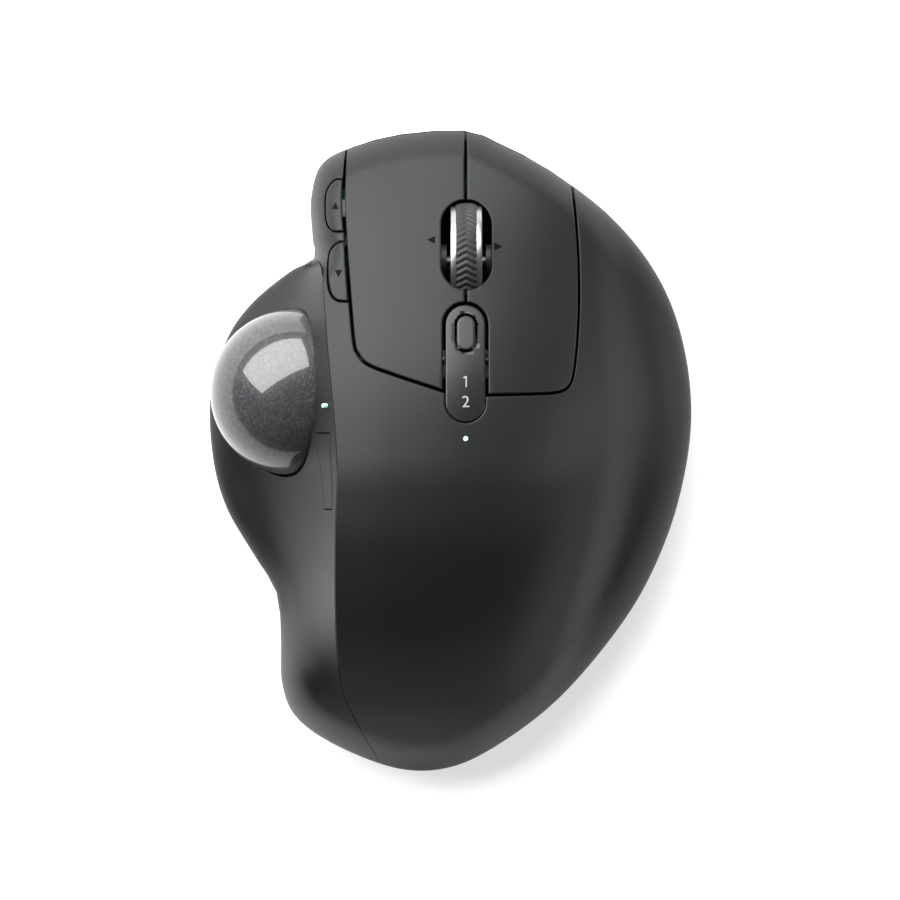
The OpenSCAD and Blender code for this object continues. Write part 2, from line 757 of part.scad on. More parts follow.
module key(points, pivot, switch_at) {
    difference() {
        moulded() {
            difference() {
                union() {
                    intersection() {
                        crown_skin(key_wall * 0.9, key_wall + 0.4);
                        full_height() offset(delta = -seam) key_area(points);
                    }
                    intersection() {
                        dome(crown_height, 0.5, 1, 2);
                        full_height() offset(delta = -seam) key_area(points);
                        union() {
                            translate([switch_at.x, switch_at.y,
                                over_switch(click_top, key_travel)])
                                cylinder(d = 3, h = body_height, $fn = 24);
                            for (s = [-1, 1]) {
                                block([1.6, 4.4, 2 * key_pivot_drop], [pivot.x + s * (key_wide - 2),
                                    pivot.y, top_at(pivot)]);
                                translate([pivot.x + s * (key_wide - 2), pivot.y,
                                    top_at(pivot) - key_pivot_drop]) rotate([0, 90, 0])
                                    cylinder(d = 4.4, h = 1.6, center = true, $fn = 24);
                            }
                        }
                    }
                }
                full_height() {
                    offset(delta = 0.01) slot_area();
                    strip_area(seam);
                }
                x_rod(wheel_d + 2 * wheel_air, slot_width + 0.4, wheel_at);
                below_parting(key_front_gap);
            }
        }
        x_rod(key_pin_d + 2 * run_fit, 30, [pivot.x, pivot.y, top_at(pivot) - key_pivot_drop]);
    }
}

module left_key() {
    color("#3c3e40") key(left_key_plan, key_pivots[0], left_switch_at);
}

module right_key() {
    color("#3c3e40") key(right_key_plan, key_pivots[1], right_switch_at);
}

module key_pins() {
    color("#b9bcc0") for (p = key_pivots)
        x_rod(key_pin_d, key_pin_l, [p.x, p.y, top_at(p) - key_pivot_drop]);
}

side_switch_top = side_board_z + board_h + small_switch_h + small_nub;

module side_button(points, y) {
    moulded() union() {
        intersection() {
            difference() {
                dome(crown_height, 0.1, 0, 0);
                dome(crown_height, 1.5, 1.8, 2);
            }
            full_height() offset(delta = -seam * 0.6) key_area(points);
            translate([0, 0, over_switch(side_switch_top, button_travel) + body_height / 2 - 2])
                cube([200, 200, body_height], center = true);
        }
        intersection() {
            dome(crown_height, 0.6, 0.6, 2);
            translate([side_x, y, over_switch(side_switch_top, button_travel)])
                cylinder(d = 2, h = body_height, $fn = 24);
        }
    }
}

module forward_button() {
    color("#3a3c3e") side_button(forward_plan, side_switch_ys[0]);
}

module back_button() {
    color("#3a3c3e") side_button(back_plan, side_switch_ys[1]);
}

precision_switch_x = precision_rib_x - 2.24;
precision_nub_x = precision_switch_x - small_switch_h - small_nub;

module precision_button() {
    color("#303234") moulded() union() {
        intersection() {
            difference() {
                dome(thumb_height, 0, -0.4, 0);
                dome(thumb_height, wall * 0.7, thumb_drop, 2);
            }
            precision_block(-0.1);
            full_height() thumb_side(-seam);
        }
        intersection() {
            dome(thumb_height, 0.4, 1, 2);
            x0 = ridge_x(precision_y) - 2.5;
            x1 = precision_nub_x - button_travel - nub_air;
            block([x1 - x0, 2.4, 2.4], [(x0 + x1) / 2, precision_y, precision_z + 0.6]);
        }
    }
}

module mode_button() {
    stem = light_board_drop - small_switch_h - small_nub - button_travel - nub_air - 0.9;
    color("#2c2e30") moulded() union() {
        intersection() {
            difference() {
                dome(crown_height, wall, 0.1, 2);
                dome(crown_height, wall, strip_wall, 2);
            }
            full_height() mode_area(-0.1);
        }
        along_strip(mode_y - strip_y, -0.9 - stem) cylinder(d = 2.2, h = stem, $fn = 24);
    }
}

module status_strip() {
    color("#18191b") moulded() difference() {
        intersection() {
            difference() {
                dome(crown_height, wall, 0.05, 2);
                dome(crown_height, wall, strip_wall, 2);
            }
            full_height() strip_area(-seam);
        }
        full_height() {
            mode_area(seam);
            for (y = digit_ys) translate([strip_x, y])
                square([digit_width, digit_length], center = true);
        }
    }
}

module digit_lights() {
    color("#d9dcdf") moulded() intersection() {
        difference() {
            dome(crown_height, wall, 0.05, 2);
            dome(crown_height, wall, strip_wall - 0.1, 2);
        }
        full_height() for (y = digit_ys) translate([strip_x, y])
            square([digit_width - 0.04, digit_length - 0.04], center = true);
    }
}

module status_light() {
    z = top_at(status_light_at);
    color("#bfe8cc") translate([status_light_at.x, status_light_at.y, z - 3])
        cylinder(d = status_light_d, h = 2.9, $fn = 32);
}

// ---- Ball and its sensor ----

bearing_at = 52;
bearing_turns = [60, 180, 300];
bearing_r = bearing_d / 2;

module bearing_places() {
    facing_ball() for (a = bearing_turns) rotate([0, 180 - bearing_at, a])
        translate([0, 0, ball_r + bearing_r + 0.01]) children();
}

module ball() {
    color("#8f9294") translate(ball_at) sphere(d = ball_d, $fn = 96);
}

cup_half_angle = 60;
lens_d = 6;
cup_foot_y = 10;
cup_foot_x = 8;
cup_foot_h = ball_at.z - inner_floor_z + 0.8
    - sqrt((cup_r + cup_wall) ^ 2 - cup_foot_x ^ 2 - cup_foot_y ^ 2);

module ball_cup() {
    color("#2a2c2e") difference() {
        union() {
            facing_ball() rotate_extrude($fn = 96) polygon(concat(
                [for (a = [0:5:cup_half_angle]) (cup_r + cup_wall) * [sin(a), -cos(a)]],
                [for (a = [cup_half_angle:-5:0]) cup_r * [sin(a), -cos(a)]]));
            bearing_places() translate([0, 0, cup_gap - bearing_r + 0.4])
                cylinder(d = bearing_d + 1.6, h = cup_wall + 0.5, $fn = 32);
            for (s = [-1, 1]) translate([ball_at.x + cup_foot_x, ball_at.y + s * cup_foot_y,
                inner_floor_z]) cylinder(d = 4, h = cup_foot_h, $fn = 32);
        }
        translate(ball_at) sphere(r = cup_r + 0.03, $fn = 96);
        bearing_places() sphere(r = bearing_r + 0.02, $fn = 48);
        facing_ball() translate([0, 0, -ball_r - 10]) cylinder(d = lens_d, h = 12, $fn = 48);
        eject_hole(eject_d, 0, ball_at.z);
    }
}

module ball_bearings() {
    color("#e9e9e6") bearing_places() sphere(r = bearing_r, $fn = 48);
}

lens_h = 2.6;
sensor_size = [9, 9, 2];
sensor_board_size = [10, 18, 1.4];
lens_from = ball_r + 0.6;

module sensor_lens() {
    color("#cfe3ea") facing_ball() translate([0, 0, -lens_from - lens_h]) {
        cylinder(d = lens_d - 0.04, h = lens_h, $fn = 48);
    }
}

module ball_sensor() {
    color("#17181a") facing_ball()
        block(sensor_size, [0, 0, -lens_from - lens_h - 0.02 - sensor_size.z / 2]);
}

module sensor_board() {
    color("#1f5a3a") facing_ball() block(sensor_board_size,
        [0, 0, -lens_from - lens_h - 0.04 - sensor_size.z - sensor_board_size.z / 2]);
}

// ---- Scroll wheel ----

rim_out = tyre_w / 2 + rim_w;
tyre_h = 2.6;
rim_shy = 0.6;

module wheel_ring(outer, inner, width, x) {
    translate([wheel_at.x + x, wheel_at.y, wheel_at.z]) rotate([0, 90, 0]) difference() {
        cylinder(r = outer, h = width, center = true, $fn = 96);
        cylinder(r = inner, h = width + 1, center = true, $fn = 96);
    }
}

module wheel_hub() {
    color("#2d2f31") union() {
        wheel_ring(wheel_r - tyre_h, axle_d / 2, tyre_w, 0);
    }
}

module wheel_rims() {
    color("#b4b7ba") for (s = [-1, 1])
        wheel_ring(wheel_r - rim_shy, wheel_r - 5, rim_w, s * (tyre_w + rim_w) / 2);
}

module wheel_tyre() {
    color("#1a1b1c") wheel_ring(wheel_r, wheel_r - tyre_h, tyre_w, 0);
}

module wheel_axle() {
    color("#a9adb1") x_rod(axle_d, yoke_w - 0.2, wheel_at);
}

module wheel_yoke() {
    base_z = tilt_axis_z;
    color("#303335") difference() {
        union() {
            for (s = [-1, 1]) {
                translate([wheel_x + s * (yoke_w - yoke_wall) / 2, wheel_at.y, wheel_at.z])
                    rotate([0, 90, 0]) cylinder(d = 7, h = yoke_wall, center = true, $fn = 48);
                block([yoke_wall, 7, wheel_at.z - base_z + 1],
                    [wheel_x + s * (yoke_w - yoke_wall) / 2, wheel_at.y,
                        (wheel_at.z + base_z - 1) / 2]);
            }
            block([yoke_w, 2 * wheel_r + 2, 2], [wheel_x, wheel_at.y, base_z]);
            y_rod(tilt_pin_d, cradle_l - 3, [wheel_x, wheel_at.y, base_z]);
        }
        x_rod(axle_d + 2 * run_fit, yoke_w + 2, wheel_at);
    }
}

encoder_size = [3.8, 8.5, 7.8];

module wheel_encoder() {
    color("#3b6ea5") difference() {
        block(encoder_size, [wheel_x + yoke_w / 2 + encoder_size.x / 2 + 0.02, wheel_at.y - 1,
            wheel_at.z - 2.9]);
        x_rod(axle_d + 0.4, 40, wheel_at);
    }
}

rail_z = tilt_axis_z;
press_arm_z = over_switch(click_top, wheel_travel);

module wheel_cradle() {
    color("#393c3f") difference() {
        union() {
            for (s = [-1, 1]) block([rail_w, cradle_l, rail_h],
                [wheel_x + s * (cradle_w - rail_w) / 2, wheel_at.y, rail_z]);
            for (s = [-1, 1]) block([cradle_w, 3, rail_h],
                [wheel_x, wheel_at.y + s * (cradle_l - 3) / 2, rail_z]);
            block([6, 3, press_arm_z + 2 - rail_z],
                [wheel_x, wheel_at.y - cradle_l / 2 + 1.5, (press_arm_z + 2 + rail_z) / 2]);
            block([6, wheel_at.y - wheel_switch_at.y - cradle_l / 2 + 4, 2],
                [wheel_x, (wheel_at.y - cradle_l / 2 + wheel_switch_at.y + 1) / 2, press_arm_z + 1]);
        }
        y_rod(tilt_pin_d + 2 * run_fit, cradle_l + 4, [wheel_x, wheel_at.y, rail_z]);
        for (s = [-1, 1]) translate([wheel_x + s * (cradle_w - rail_w) / 2, wheel_at.y, 0])
            cylinder(d = post_d + 2 * run_fit, h = 40, $fn = 32);
    }
}

module tilt_switches() {
    color("#202224") for (s = [-1, 1])
        block([1.6, 4.5, 2.4], [wheel_x + s * (cradle_w / 2 - rail_w - 0.82),
            wheel_at.y - 8, rail_z - 3.2]);
}

module cradle_posts() {
    color("#b9bcc0") for (s = [-1, 1])
        translate([wheel_x + s * (cradle_w - rail_w) / 2, wheel_at.y, inner_floor_z])
            cylinder(d = post_d, h = rail_z + rail_h / 2 + 1.5 - inner_floor_z, $fn = 32);
}

spring_wire = 0.4;
spring_turns = 4;

module coil(r, wire, turns, height) {
    steps = 16;
    sides = 6;
    n = steps * turns;
    ring = function(i) let (a = 360 * i / steps)
        [for (k = [0:sides - 1]) let (b = 360 * k / sides, q = r + wire / 2 * cos(b))
            [q * cos(a), q * sin(a), height * i / n + wire / 2 * sin(b)]];
    points = [for (i = [0:n]) each ring(i)];
    faces = concat(
        [[for (k = [0:sides - 1]) k]],
        [for (i = [0:n - 1], k = [0:sides - 1], half = [0, 1])
            let (a = i * sides + k, b = i * sides + (k + 1) % sides, c = a + sides, d = b + sides)
            half == 0 ? [a, c, d] : [a, d, b]],
        [[for (k = [sides - 1:-1:0]) n * sides + k]]);
    polyhedron(points, faces, convexity = 8);
}

module cradle_springs() {
    low = tilt_axis_z - 6 + spring_wire / 2 + 0.02;
    high = rail_z - rail_h / 2 - spring_wire / 2 - 0.02;
    color("#d0d3d6") for (s = [-1, 1])
        translate([wheel_x + s * (cradle_w - rail_w) / 2, wheel_at.y, low])
            coil(post_d / 2 + 0.6, spring_wire, spring_turns, high - low);
}

// ---- Boards, switches and battery ----

module main_board() {
    size = main_board_max - main_board_min;
    color("#1f5a3a") difference() {
        translate([main_board_min.x, main_board_min.y, main_board_z])
            cube([size.x, size.y, board_h]);
        for (p = board_posts) translate([p.x, p.y, 0])
            cylinder(d = screw_small_d + 2 * run_fit, h = 30, $fn = 32);
    }
}

module main_chips() {
    z = main_board_z + board_h;
    color("#151617") {
        translate([6, -28, z]) cube([9, 9, 1.1]);
        translate([16, -14, z]) cube([6, 6, 1]);
        translate([0, -8, z]) cube([5, 7, 1.4]);
        translate([8, 6, z]) cube([7, 4, 1]);
    }
}

module key_board() {
    low = wheel_switch_at.y - 4;
    cut = wheel_at.y - cradle_l / 2 - 0.8;
    left = wheel_x - cradle_w / 2 - 1.2;
    right = wheel_x + cradle_w / 2 + 1.2;
    color("#1f5a3a") difference() {
        plan_block([[-9, low], [25, low], [25, 46], [19, 53.5], [right, 53.5], [right, cut],
            [left, cut], [left, 50], [-8, 58], [-19.8, 58], [-19.8, 38], [-18.5, 24.5],
            [-16, 21.9], [-9, 21.9]], key_board_z, key_board_z + board_h);
        for (p = key_board_posts) translate([p.x, p.y, 0])
            cylinder(d = screw_small_d + 2 * run_fit, h = 30, $fn = 32);
    }
}

module click_switch(at, turn) {
    translate([at.x, at.y, key_board_z + board_h]) rotate(turn) {
        translate([-2.9, -6.4, 0]) cube([5.8, 12.8, switch_h]);
        translate([-0.8, -1, switch_h]) cube([1.6, 2, switch_nub]);
    }
}

module click_switches() {
    color("#1d1e20") {
        click_switch(left_switch_at, 0);
        click_switch(right_switch_at, 0);
        click_switch(wheel_switch_at, 90);
    }
}

module side_board() {
    color("#1f5a3a") difference() {
        translate([side_x - 2, 31, side_board_z]) cube([4, 23, board_h]);
        translate([side_post.x, side_post.y, 0])
            cylinder(d = screw_small_d + 2 * run_fit, h = 40, $fn = 32);
    }
}

module small_switch() {
    translate([-1.7, -1.7, 0]) cube([3.4, 3.4, small_switch_h]);
    translate([0, 0, small_switch_h]) cylinder(d = 1.6, h = small_nub, $fn = 24);
}

module side_switches() {
    color("#c9cbcd") for (y = side_switch_ys)
        translate([side_x, y, side_board_z + board_h]) small_switch();
}

module precision_board() {
    color("#1f5a3a")
        block([1.2, 8, 7], [precision_rib_x - 1.62, precision_y, precision_z + 0.6]);
}

module precision_switch() {
    color("#c9cbcd") translate([precision_switch_x, precision_y, precision_z + 0.6])
        rotate([0, -90, 0]) small_switch();
}

module light_board() {
    color("#1f5a3a") along_strip(-2.2, -light_board_drop)
        block([7, 23, light_board_h], [0, 0, -light_board_h / 2]);
}

module mode_switch() {
    color("#c9cbcd") along_strip(mode_y - strip_y, -light_board_drop) small_switch();
}

module battery() {
    color("#8d9196") translate([battery_at.x, battery_at.y, battery_z]) {
        translate([0, 0, battery_h / 2]) cube([battery_w - battery_h, battery_l, battery_h],
            center = true);
        for (s = [-1, 1]) translate([s * (battery_w - battery_h) / 2, 0, battery_h / 2])
            rotate([90, 0, 0]) cylinder(d = battery_h, h = battery_l, center = true, $fn = 48);
    }
}

module battery_tray() {
    z = battery_z - 1.2;
    color("#232527") difference() {
        union() {
            translate([battery_at.x, battery_at.y, z + 0.6])
                cube([battery_w + 3, battery_l + 3, 1.16], center = true);
            for (s = [-1, 1]) translate([battery_at.x, battery_at.y + s * (battery_l + 2) / 2 + s * 0.1,
                z + 2]) cube([battery_w + 3, 1, 4], center = true);
            for (sx = [-1, 1], sy = [-1, 1]) translate([battery_at.x + sx * (battery_w / 2 - 2),
                battery_at.y + sy * (battery_l / 2 - 3), main_board_z + board_h])
                cylinder(d = 2.4, h = z - main_board_z - board_h + 0.5, $fn = 24);
        }
    }
}

module charge_board() {
    color("#1f5a3a") difference() {
        translate([port_x - 6, half_length - 20.5, charge_board_z])
            cube([21, 12.3, charge_board_h]);
        for (p = charge_posts) translate([p.x, p.y, 0])
            cylinder(d = screw_small_d + 2 * run_fit, h = 30, $fn = 32);
    }
}

module charge_receptacle() {
    color("#aeb2b6") translate([port_x, half_length - 3.2 - port_size.y / 2, port_z]) {
        difference() {
            translate([0, 0, port_size.z / 2]) rotate([90, 0, 0]) port_shape(port_size.y, 0);
            translate([0, 1, port_size.z / 2]) rotate([90, 0, 0]) port_shape(port_size.y, 0.35);
        }
        translate([0, 0, port_size.z / 2]) cube([5.6, port_size.y - 2, 0.8], center = true);
        translate([0, -port_size.y / 2 + 0.8, port_size.z / 2])
            cube([6, 1, port_size.z - 1], center = true);
    }
}

module port_shape(length, shrink) {
    r = port_size.z / 2 - shrink;
    linear_extrude(length, center = true) {
        square([port_size.x - port_size.z, 2 * r], center = true);
        for (s = [-1, 1]) translate([s * (port_size.x - port_size.z) / 2, 0])
            circle(r = r, $fn = 48);
    }
}

slider_plate_z = inner_floor_z + 0.35;
slider_plate_h = 0.8;

module power_switch() {
    z = slider_plate_z + slider_plate_h + 0.05;
    color("#232425") block([8, 4.4, charge_board_z - 0.02 - z],
        [power_at.x - 0.4, power_at.y - 0.4, (charge_board_z - 0.02 + z) / 2]);
}

module power_slider() {
    color("#c8cacc") translate([power_at.x - power_travel / 2, power_at.y, 0]) {
        block([power_slider_l, 1.8, wall + 0.4], [0, 0, floor_z + 0.1 + wall / 2 + 0.2]);
        block([power_slider_l + 1.2, 2.8, slider_plate_h],
            [0, 0, slider_plate_z + slider_plate_h / 2]);
    }
}

module case_screws() {
    color("#7b7f83") for (p = concat(case_bosses, [thumb_boss]))
        translate([p.x, p.y, boss_split_z - 2.5]) {
            cylinder(d = screw_d, h = screw_length, $fn = 32);
            translate([0, 0, -screw_head_h]) cylinder(d = screw_head_d, h = screw_head_h, $fn = 32);
        }
}

module small_screw(at, top, length) {
    translate([at.x, at.y, top - length]) cylinder(d = screw_small_d, h = length, $fn = 32);
    translate([at.x, at.y, top]) cylinder(d = 3, h = 1, $fn = 32);
}

module board_screws() {
    color("#7b7f83") {
        for (p = board_posts) small_screw(p, main_board_z + board_h, 4);
        for (p = key_board_posts) small_screw(p, key_board_z + board_h, 4);
        for (p = charge_posts) small_screw(p, charge_board_z + charge_board_h, 3.4);
        small_screw(side_post, side_board_z + board_h, 4);
    }
}

base_pad();
base_plate();
pivot_pins();
pivot_brackets();
bracket_screws();
bottom_shell();
body_magnets();
top_shell();
thumb_shell();
left_key();
right_key();
key_pins();
forward_button();
back_button();
precision_button();
mode_button();
status_strip();
digit_lights();
status_light();
precision_light();
ball();
ball_cup();
ball_bearings();
sensor_lens();
ball_sensor();
sensor_board();
wheel_hub();
wheel_rims();
wheel_tyre();
wheel_axle();
wheel_yoke();
wheel_encoder();
wheel_cradle();
tilt_switches();
cradle_posts();
cradle_springs();
main_board();
main_chips();
key_board();
click_switches();
side_board();
side_switches();
precision_board();
precision_switch();
light_board();
mode_switch();
battery();
battery_tray();
charge_board();
charge_receptacle();
power_switch();
power_slider();
case_screws();
board_screws();
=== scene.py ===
# Thumb trackball mouse for the right hand: the looks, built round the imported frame.
# +X is the outer side, +Y the button end and +Z up. Outlines are in millimetres, meshes in metres.
import json
import math

import bpy
import numpy as np
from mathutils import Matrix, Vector


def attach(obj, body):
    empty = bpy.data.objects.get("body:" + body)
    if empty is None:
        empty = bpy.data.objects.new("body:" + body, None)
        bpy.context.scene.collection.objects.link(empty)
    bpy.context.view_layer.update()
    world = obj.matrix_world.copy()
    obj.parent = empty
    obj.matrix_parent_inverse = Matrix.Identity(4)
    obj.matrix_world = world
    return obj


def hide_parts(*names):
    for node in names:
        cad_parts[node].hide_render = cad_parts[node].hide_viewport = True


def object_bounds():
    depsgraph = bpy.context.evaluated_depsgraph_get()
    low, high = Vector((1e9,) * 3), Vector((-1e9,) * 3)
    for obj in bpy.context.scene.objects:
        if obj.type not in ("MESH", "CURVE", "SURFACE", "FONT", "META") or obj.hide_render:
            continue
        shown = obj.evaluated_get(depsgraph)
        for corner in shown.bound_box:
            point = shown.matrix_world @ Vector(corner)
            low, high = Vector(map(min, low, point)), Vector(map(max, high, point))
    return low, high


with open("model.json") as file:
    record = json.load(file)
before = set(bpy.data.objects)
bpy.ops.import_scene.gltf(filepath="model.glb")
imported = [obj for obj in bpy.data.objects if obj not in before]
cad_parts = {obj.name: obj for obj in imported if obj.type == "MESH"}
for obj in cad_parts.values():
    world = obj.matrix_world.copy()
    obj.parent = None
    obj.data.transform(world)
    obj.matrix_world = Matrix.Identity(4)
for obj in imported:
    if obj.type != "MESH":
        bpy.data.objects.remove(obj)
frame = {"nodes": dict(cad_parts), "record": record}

nodes = frame["nodes"]
cad_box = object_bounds()
MM = 0.001


# ---- Studio: camera straight above, white table, softboxes ----
# A product table of pale board under large softboxes. The camera hangs over the middle of the
# body and looks straight down, with the button end at the top of its view.
bpy.context.scene.view_settings.view_transform = "Standard"
bpy.ops.object.select_all(action="DESELECT")

camera_rise = 1.047
bpy.ops.object.camera_add(location=(-0.0001, 0.0004, camera_rise), rotation=(0, 0, 0))
camera = bpy.context.object
camera.data.lens = 200
camera.data.sensor_width = 36
camera.data.clip_start = 0.01
bpy.context.scene.camera = camera


def shader_material(name, colour, roughness):
    """A material with a Principled shader; returns it, its node tree and the shader."""
    material = bpy.data.materials.new(name)
    material.use_nodes = True
    tree = material.node_tree
    shader = tree.nodes["Principled BSDF"]
    shader.inputs["Base Color"].default_value = (*colour, 1)
    shader.inputs["Roughness"].default_value = roughness
    return material, tree, shader


table_board, _, table_shader = shader_material("table_board", (0.5, 0.5, 0.5), 0.9)
table_shader.inputs["Emission Color"].default_value = (1, 1, 1, 1)
table_shader.inputs["Emission Strength"].default_value = 0.62
bpy.ops.mesh.primitive_plane_add(size=4, location=(0, 0, -0.0002))
table = bpy.context.object
table.name = "studio_table"
table.data.materials.append(table_board)


def softbox(name, place, aim, width, height, power):
    bpy.ops.object.light_add(type="AREA", location=place)
    lamp = bpy.context.object
    lamp.name = name
    lamp.data.shape = "RECTANGLE"
    lamp.data.size = width
    lamp.data.size_y = height
    lamp.data.energy = power
    toward = Vector(aim) - Vector(place)
    lamp.rotation_euler = toward.to_track_quat("-Z", "Y").to_euler()


softbox("main_softbox", (-0.36, 0.60, 0.60), (-0.02, 0.01, 0.03), 1.5, 0.92, 46)
softbox("side_softbox", (0.60, 0.05, 0.20), (0.03, 0.0, 0.02), 0.16, 0.5, 1.2)

world = bpy.data.worlds.new("studio_air")
bpy.context.scene.world = world
world.use_nodes = True
world.node_tree.nodes["Background"].inputs["Color"].default_value = (0.97, 0.98, 1, 1)
world.node_tree.nodes["Background"].inputs["Strength"].default_value = 0.08


# ---- Upper casing over the crown ----
# The main cover is one moulding of black ABS with a soft-touch coat. It falls from the crest
# to the parting line all round, stops at the crease over the thumb, and is screwed from below.
plan = [
    (3, 65.9), (-10, 65.2), (-19.9, 62.6), (-26.4, 59), (-28.6, 52), (-28.3, 44), (-28, 39.7),
    (-33, 37), (-40.8, 30.6), (-46, 23.2), (-49.4, 12), (-49, -1), (-46.2, -11.5),
    (-40.4, -21.5), (-35.9, -29), (-35, -38), (-34.7, -48), (-31.5, -55.2), (-22.6, -61.2),
    (-10.5, -65.6), (0, -65.3), (10, -60.6), (22, -51.5), (33, -39), (41, -26.5), (47, -11),
    (49.8, 6), (48.2, 22), (43, 35.8), (33.4, 48), (20.4, 57.9), (10.2, 63.3)]
crease_plan = [
    (-27.7, 39.6), (-26.1, 37.4), (-25.5, 33), (-25, 27), (-24.5, 21), (-23, 6), (-22.4, -4),
    (-22.8, -14), (-23, -30), (-22.6, -41), (-21.5, -49), (-18, -57), (-13, -67)]
body_width = 99.6
body_length = 132.5
body_height = cad_box[1][2] / MM
half_length = body_length / 2


def smooth_stretch(a, b, c, d, steps):
    """The smooth curve from b up to, but without, c, with a before it and d after it."""
    return [b + t * (c - a) / 2 + t ** 2 * (a - 2.5 * b + 2 * c - d / 2)
            + t ** 3 * (1.5 * b - 1.5 * c + (d - a) / 2)
            for t in (k / steps for k in range(steps))]


def smooth_loop(points, steps):
    """A closed smooth line through the points, with that many steps to each."""
    line = []
    count = len(points)
    corners = [np.array(p, float) for p in points]
    for i in range(count):
        line += smooth_stretch(*(corners[(i + k) % count] for k in (-1, 0, 1, 2)), steps)
    return np.array(line)


rough_rim = smooth_loop(plan, 2)
stretch = np.array([body_width, body_length]) / (rough_rim.max(0) - rough_rim.min(0))
middle = (rough_rim.max(0) + rough_rim.min(0)) / 2


def placed(points):
    return (np.array(points, float) - middle) * stretch


rim = placed(smooth_loop(plan, 10))
crease = placed(crease_plan)


def along(value, table):
    """A smooth curve through a table of (key, value), level beyond its ends."""
    keys, levels = np.array(table, float).T
    last = len(keys) - 1
    spots = np.arange(last + 1)
    ahead, behind = np.minimum(spots + 1, last), np.maximum(spots - 1, 0)
    slopes = (levels[ahead] - levels[behind]) / (keys[ahead] - keys[behind])
    held = np.clip(value, keys[0], keys[-1])
    i = np.clip(np.searchsorted(keys, held, side="right") - 1, 0, last - 1)
    span = keys[i + 1] - keys[i]
    t = (held - keys[i]) / span
    return ((2 * t ** 3 - 3 * t ** 2 + 1) * levels[i]
            + (t ** 3 - 2 * t ** 2 + t) * span * slopes[i]
            + (3 * t ** 2 - 2 * t ** 3) * levels[i + 1]
            + (t ** 3 - t ** 2) * span * slopes[i + 1])


def off_line(points, line, closed=False):
    """How far each point lies from a line of straight stretches."""
    points = np.asarray(points, float)
    starts = np.array(line, float)
    ends = np.roll(starts, -1, axis=0)
    if not closed:
        starts, ends = starts[:-1], ends[:-1]
    nearest = np.full(len(points), np.inf)
    for a, b in zip(starts, ends):
        run = b - a
        share = np.clip((points - a) @ run / max(run @ run, 1e-12), 0, 1)
        nearest = np.minimum(nearest, np.hypot(*(points - a - share[:, None] * run).T))
    return nearest


def ease(t):
    u = np.clip(t, 0, 1)
    return u * u * (3 - 2 * u)


def rounded(t):
    return np.sqrt(1 - (1 - np.clip(t, 0, 1)) ** 2)


crest_line = [
    (-1, 0.2), (-0.91, 0.37), (-0.76, 0.584), (-0.53, 0.827), (-0.3, 0.963), (-0.12, 1),
    (0, 0.99), (0.23, 0.925), (0.45, 0.818), (0.68, 0.682), (0.91, 0.506), (1, 0.428)]
crest_fall = [
    (-0.6, 0.84), (-0.2, 0.965), (0, 1), (0.25, 0.955), (0.5, 0.8), (0.7, 0.53), (0.82, 0.29),
    (0.9, 0.2), (1, 0.12)]
flank_line = [
    (-1, 20), (-0.76, 29.5), (-0.53, 37.5), (-0.3, 44), (-0.15, 47), (0, 49), (0.15, 49.6),
    (0.3, 48.6), (0.53, 46.5), (0.76, 43.5), (1, 40)]
crest_x = -12
edge_roll = 6.5
flank_rise = 1.5


def parting(y):
    return 12 + 0.06 * y


def bare_crown(points):
    x, y = np.asarray(points, float).T
    low = parting(y) + flank_rise
    side = (x - crest_x) / (along(y / half_length, flank_line) * stretch[0] - crest_x)
    high = body_height * along(y / half_length, crest_line)
    return low + (high - low) * along(side, crest_fall)


def crown(points, off_rim=None):
    """Height of the crown over each place, rolled over at the rim."""
    points = np.asarray(points, float)
    off_rim = off_line(points, rim, True) if off_rim is None else off_rim
    low = parting(points[:, 1])
    return low + (bare_crown(points) - low) * rounded(off_rim / edge_roll)


def crown_place(points, sunk):
    return np.column_stack([points, crown(points) - sunk])


def surface_shade(piece, bent):
    """Shades the outer face by the true slope of its surface, so that no cut line shows."""
    mesh = piece.data
    spots = np.zeros(len(mesh.vertices) * 3)
    mesh.vertices.foreach_get("co", spots)
    spots = spots.reshape(-1, 3) / MM
    flat = spots[:, :2]
    small = 0.012
    across = bent(flat + [small, 0]) - bent(flat - [small, 0])
    upward = bent(flat + [0, small]) - bent(flat - [0, small])
    slopes = np.cross(across, upward)
    slopes /= np.maximum(np.linalg.norm(slopes, axis=1, keepdims=True), 1e-12)
    outer = np.abs(bent(flat)[:, 2] - spots[:, 2]) < 0.3
    own = np.zeros(len(mesh.vertices) * 3)
    mesh.vertices.foreach_get("normal", own)
    own = own.reshape(-1, 3)
    corner_of = np.zeros(len(mesh.loops), int)
    mesh.loops.foreach_get("vertex_index", corner_of)
    faces = np.zeros(len(mesh.polygons) * 3)
    mesh.polygons.foreach_get("normal", faces)
    corners = np.zeros(len(mesh.polygons), int)
    mesh.polygons.foreach_get("loop_total", corners)
    face_way = np.repeat(faces.reshape(-1, 3), corners, axis=0)
    soft = np.sum(own[corner_of] * face_way, axis=1) > 0.85
    normals = np.where(soft[:, None], own[corner_of], face_way)
    true_way = slopes[corner_of]
    fits = outer[corner_of] & (np.sum(true_way * face_way, axis=1) > 0.55)
    normals[fits] = true_way[fits]
    mesh.normals_split_custom_set([tuple(n) for n in normals])
    mesh.update()


def cut_away(piece, cutter, way="DIFFERENCE"):
    """Cuts a piece with another solid, or keeps only what lies inside it."""
    bpy.ops.object.select_all(action="DESELECT")
    bpy.context.view_layer.objects.active = piece
    piece.select_set(True)
    knife = piece.modifiers.new("cut", "BOOLEAN")
    knife.operation = way
    knife.solver = "EXACT"
    knife.object = cutter
    bpy.ops.object.modifier_apply(modifier=knife.name)


shortest_run = 0.12
hook_straightness = -0.8


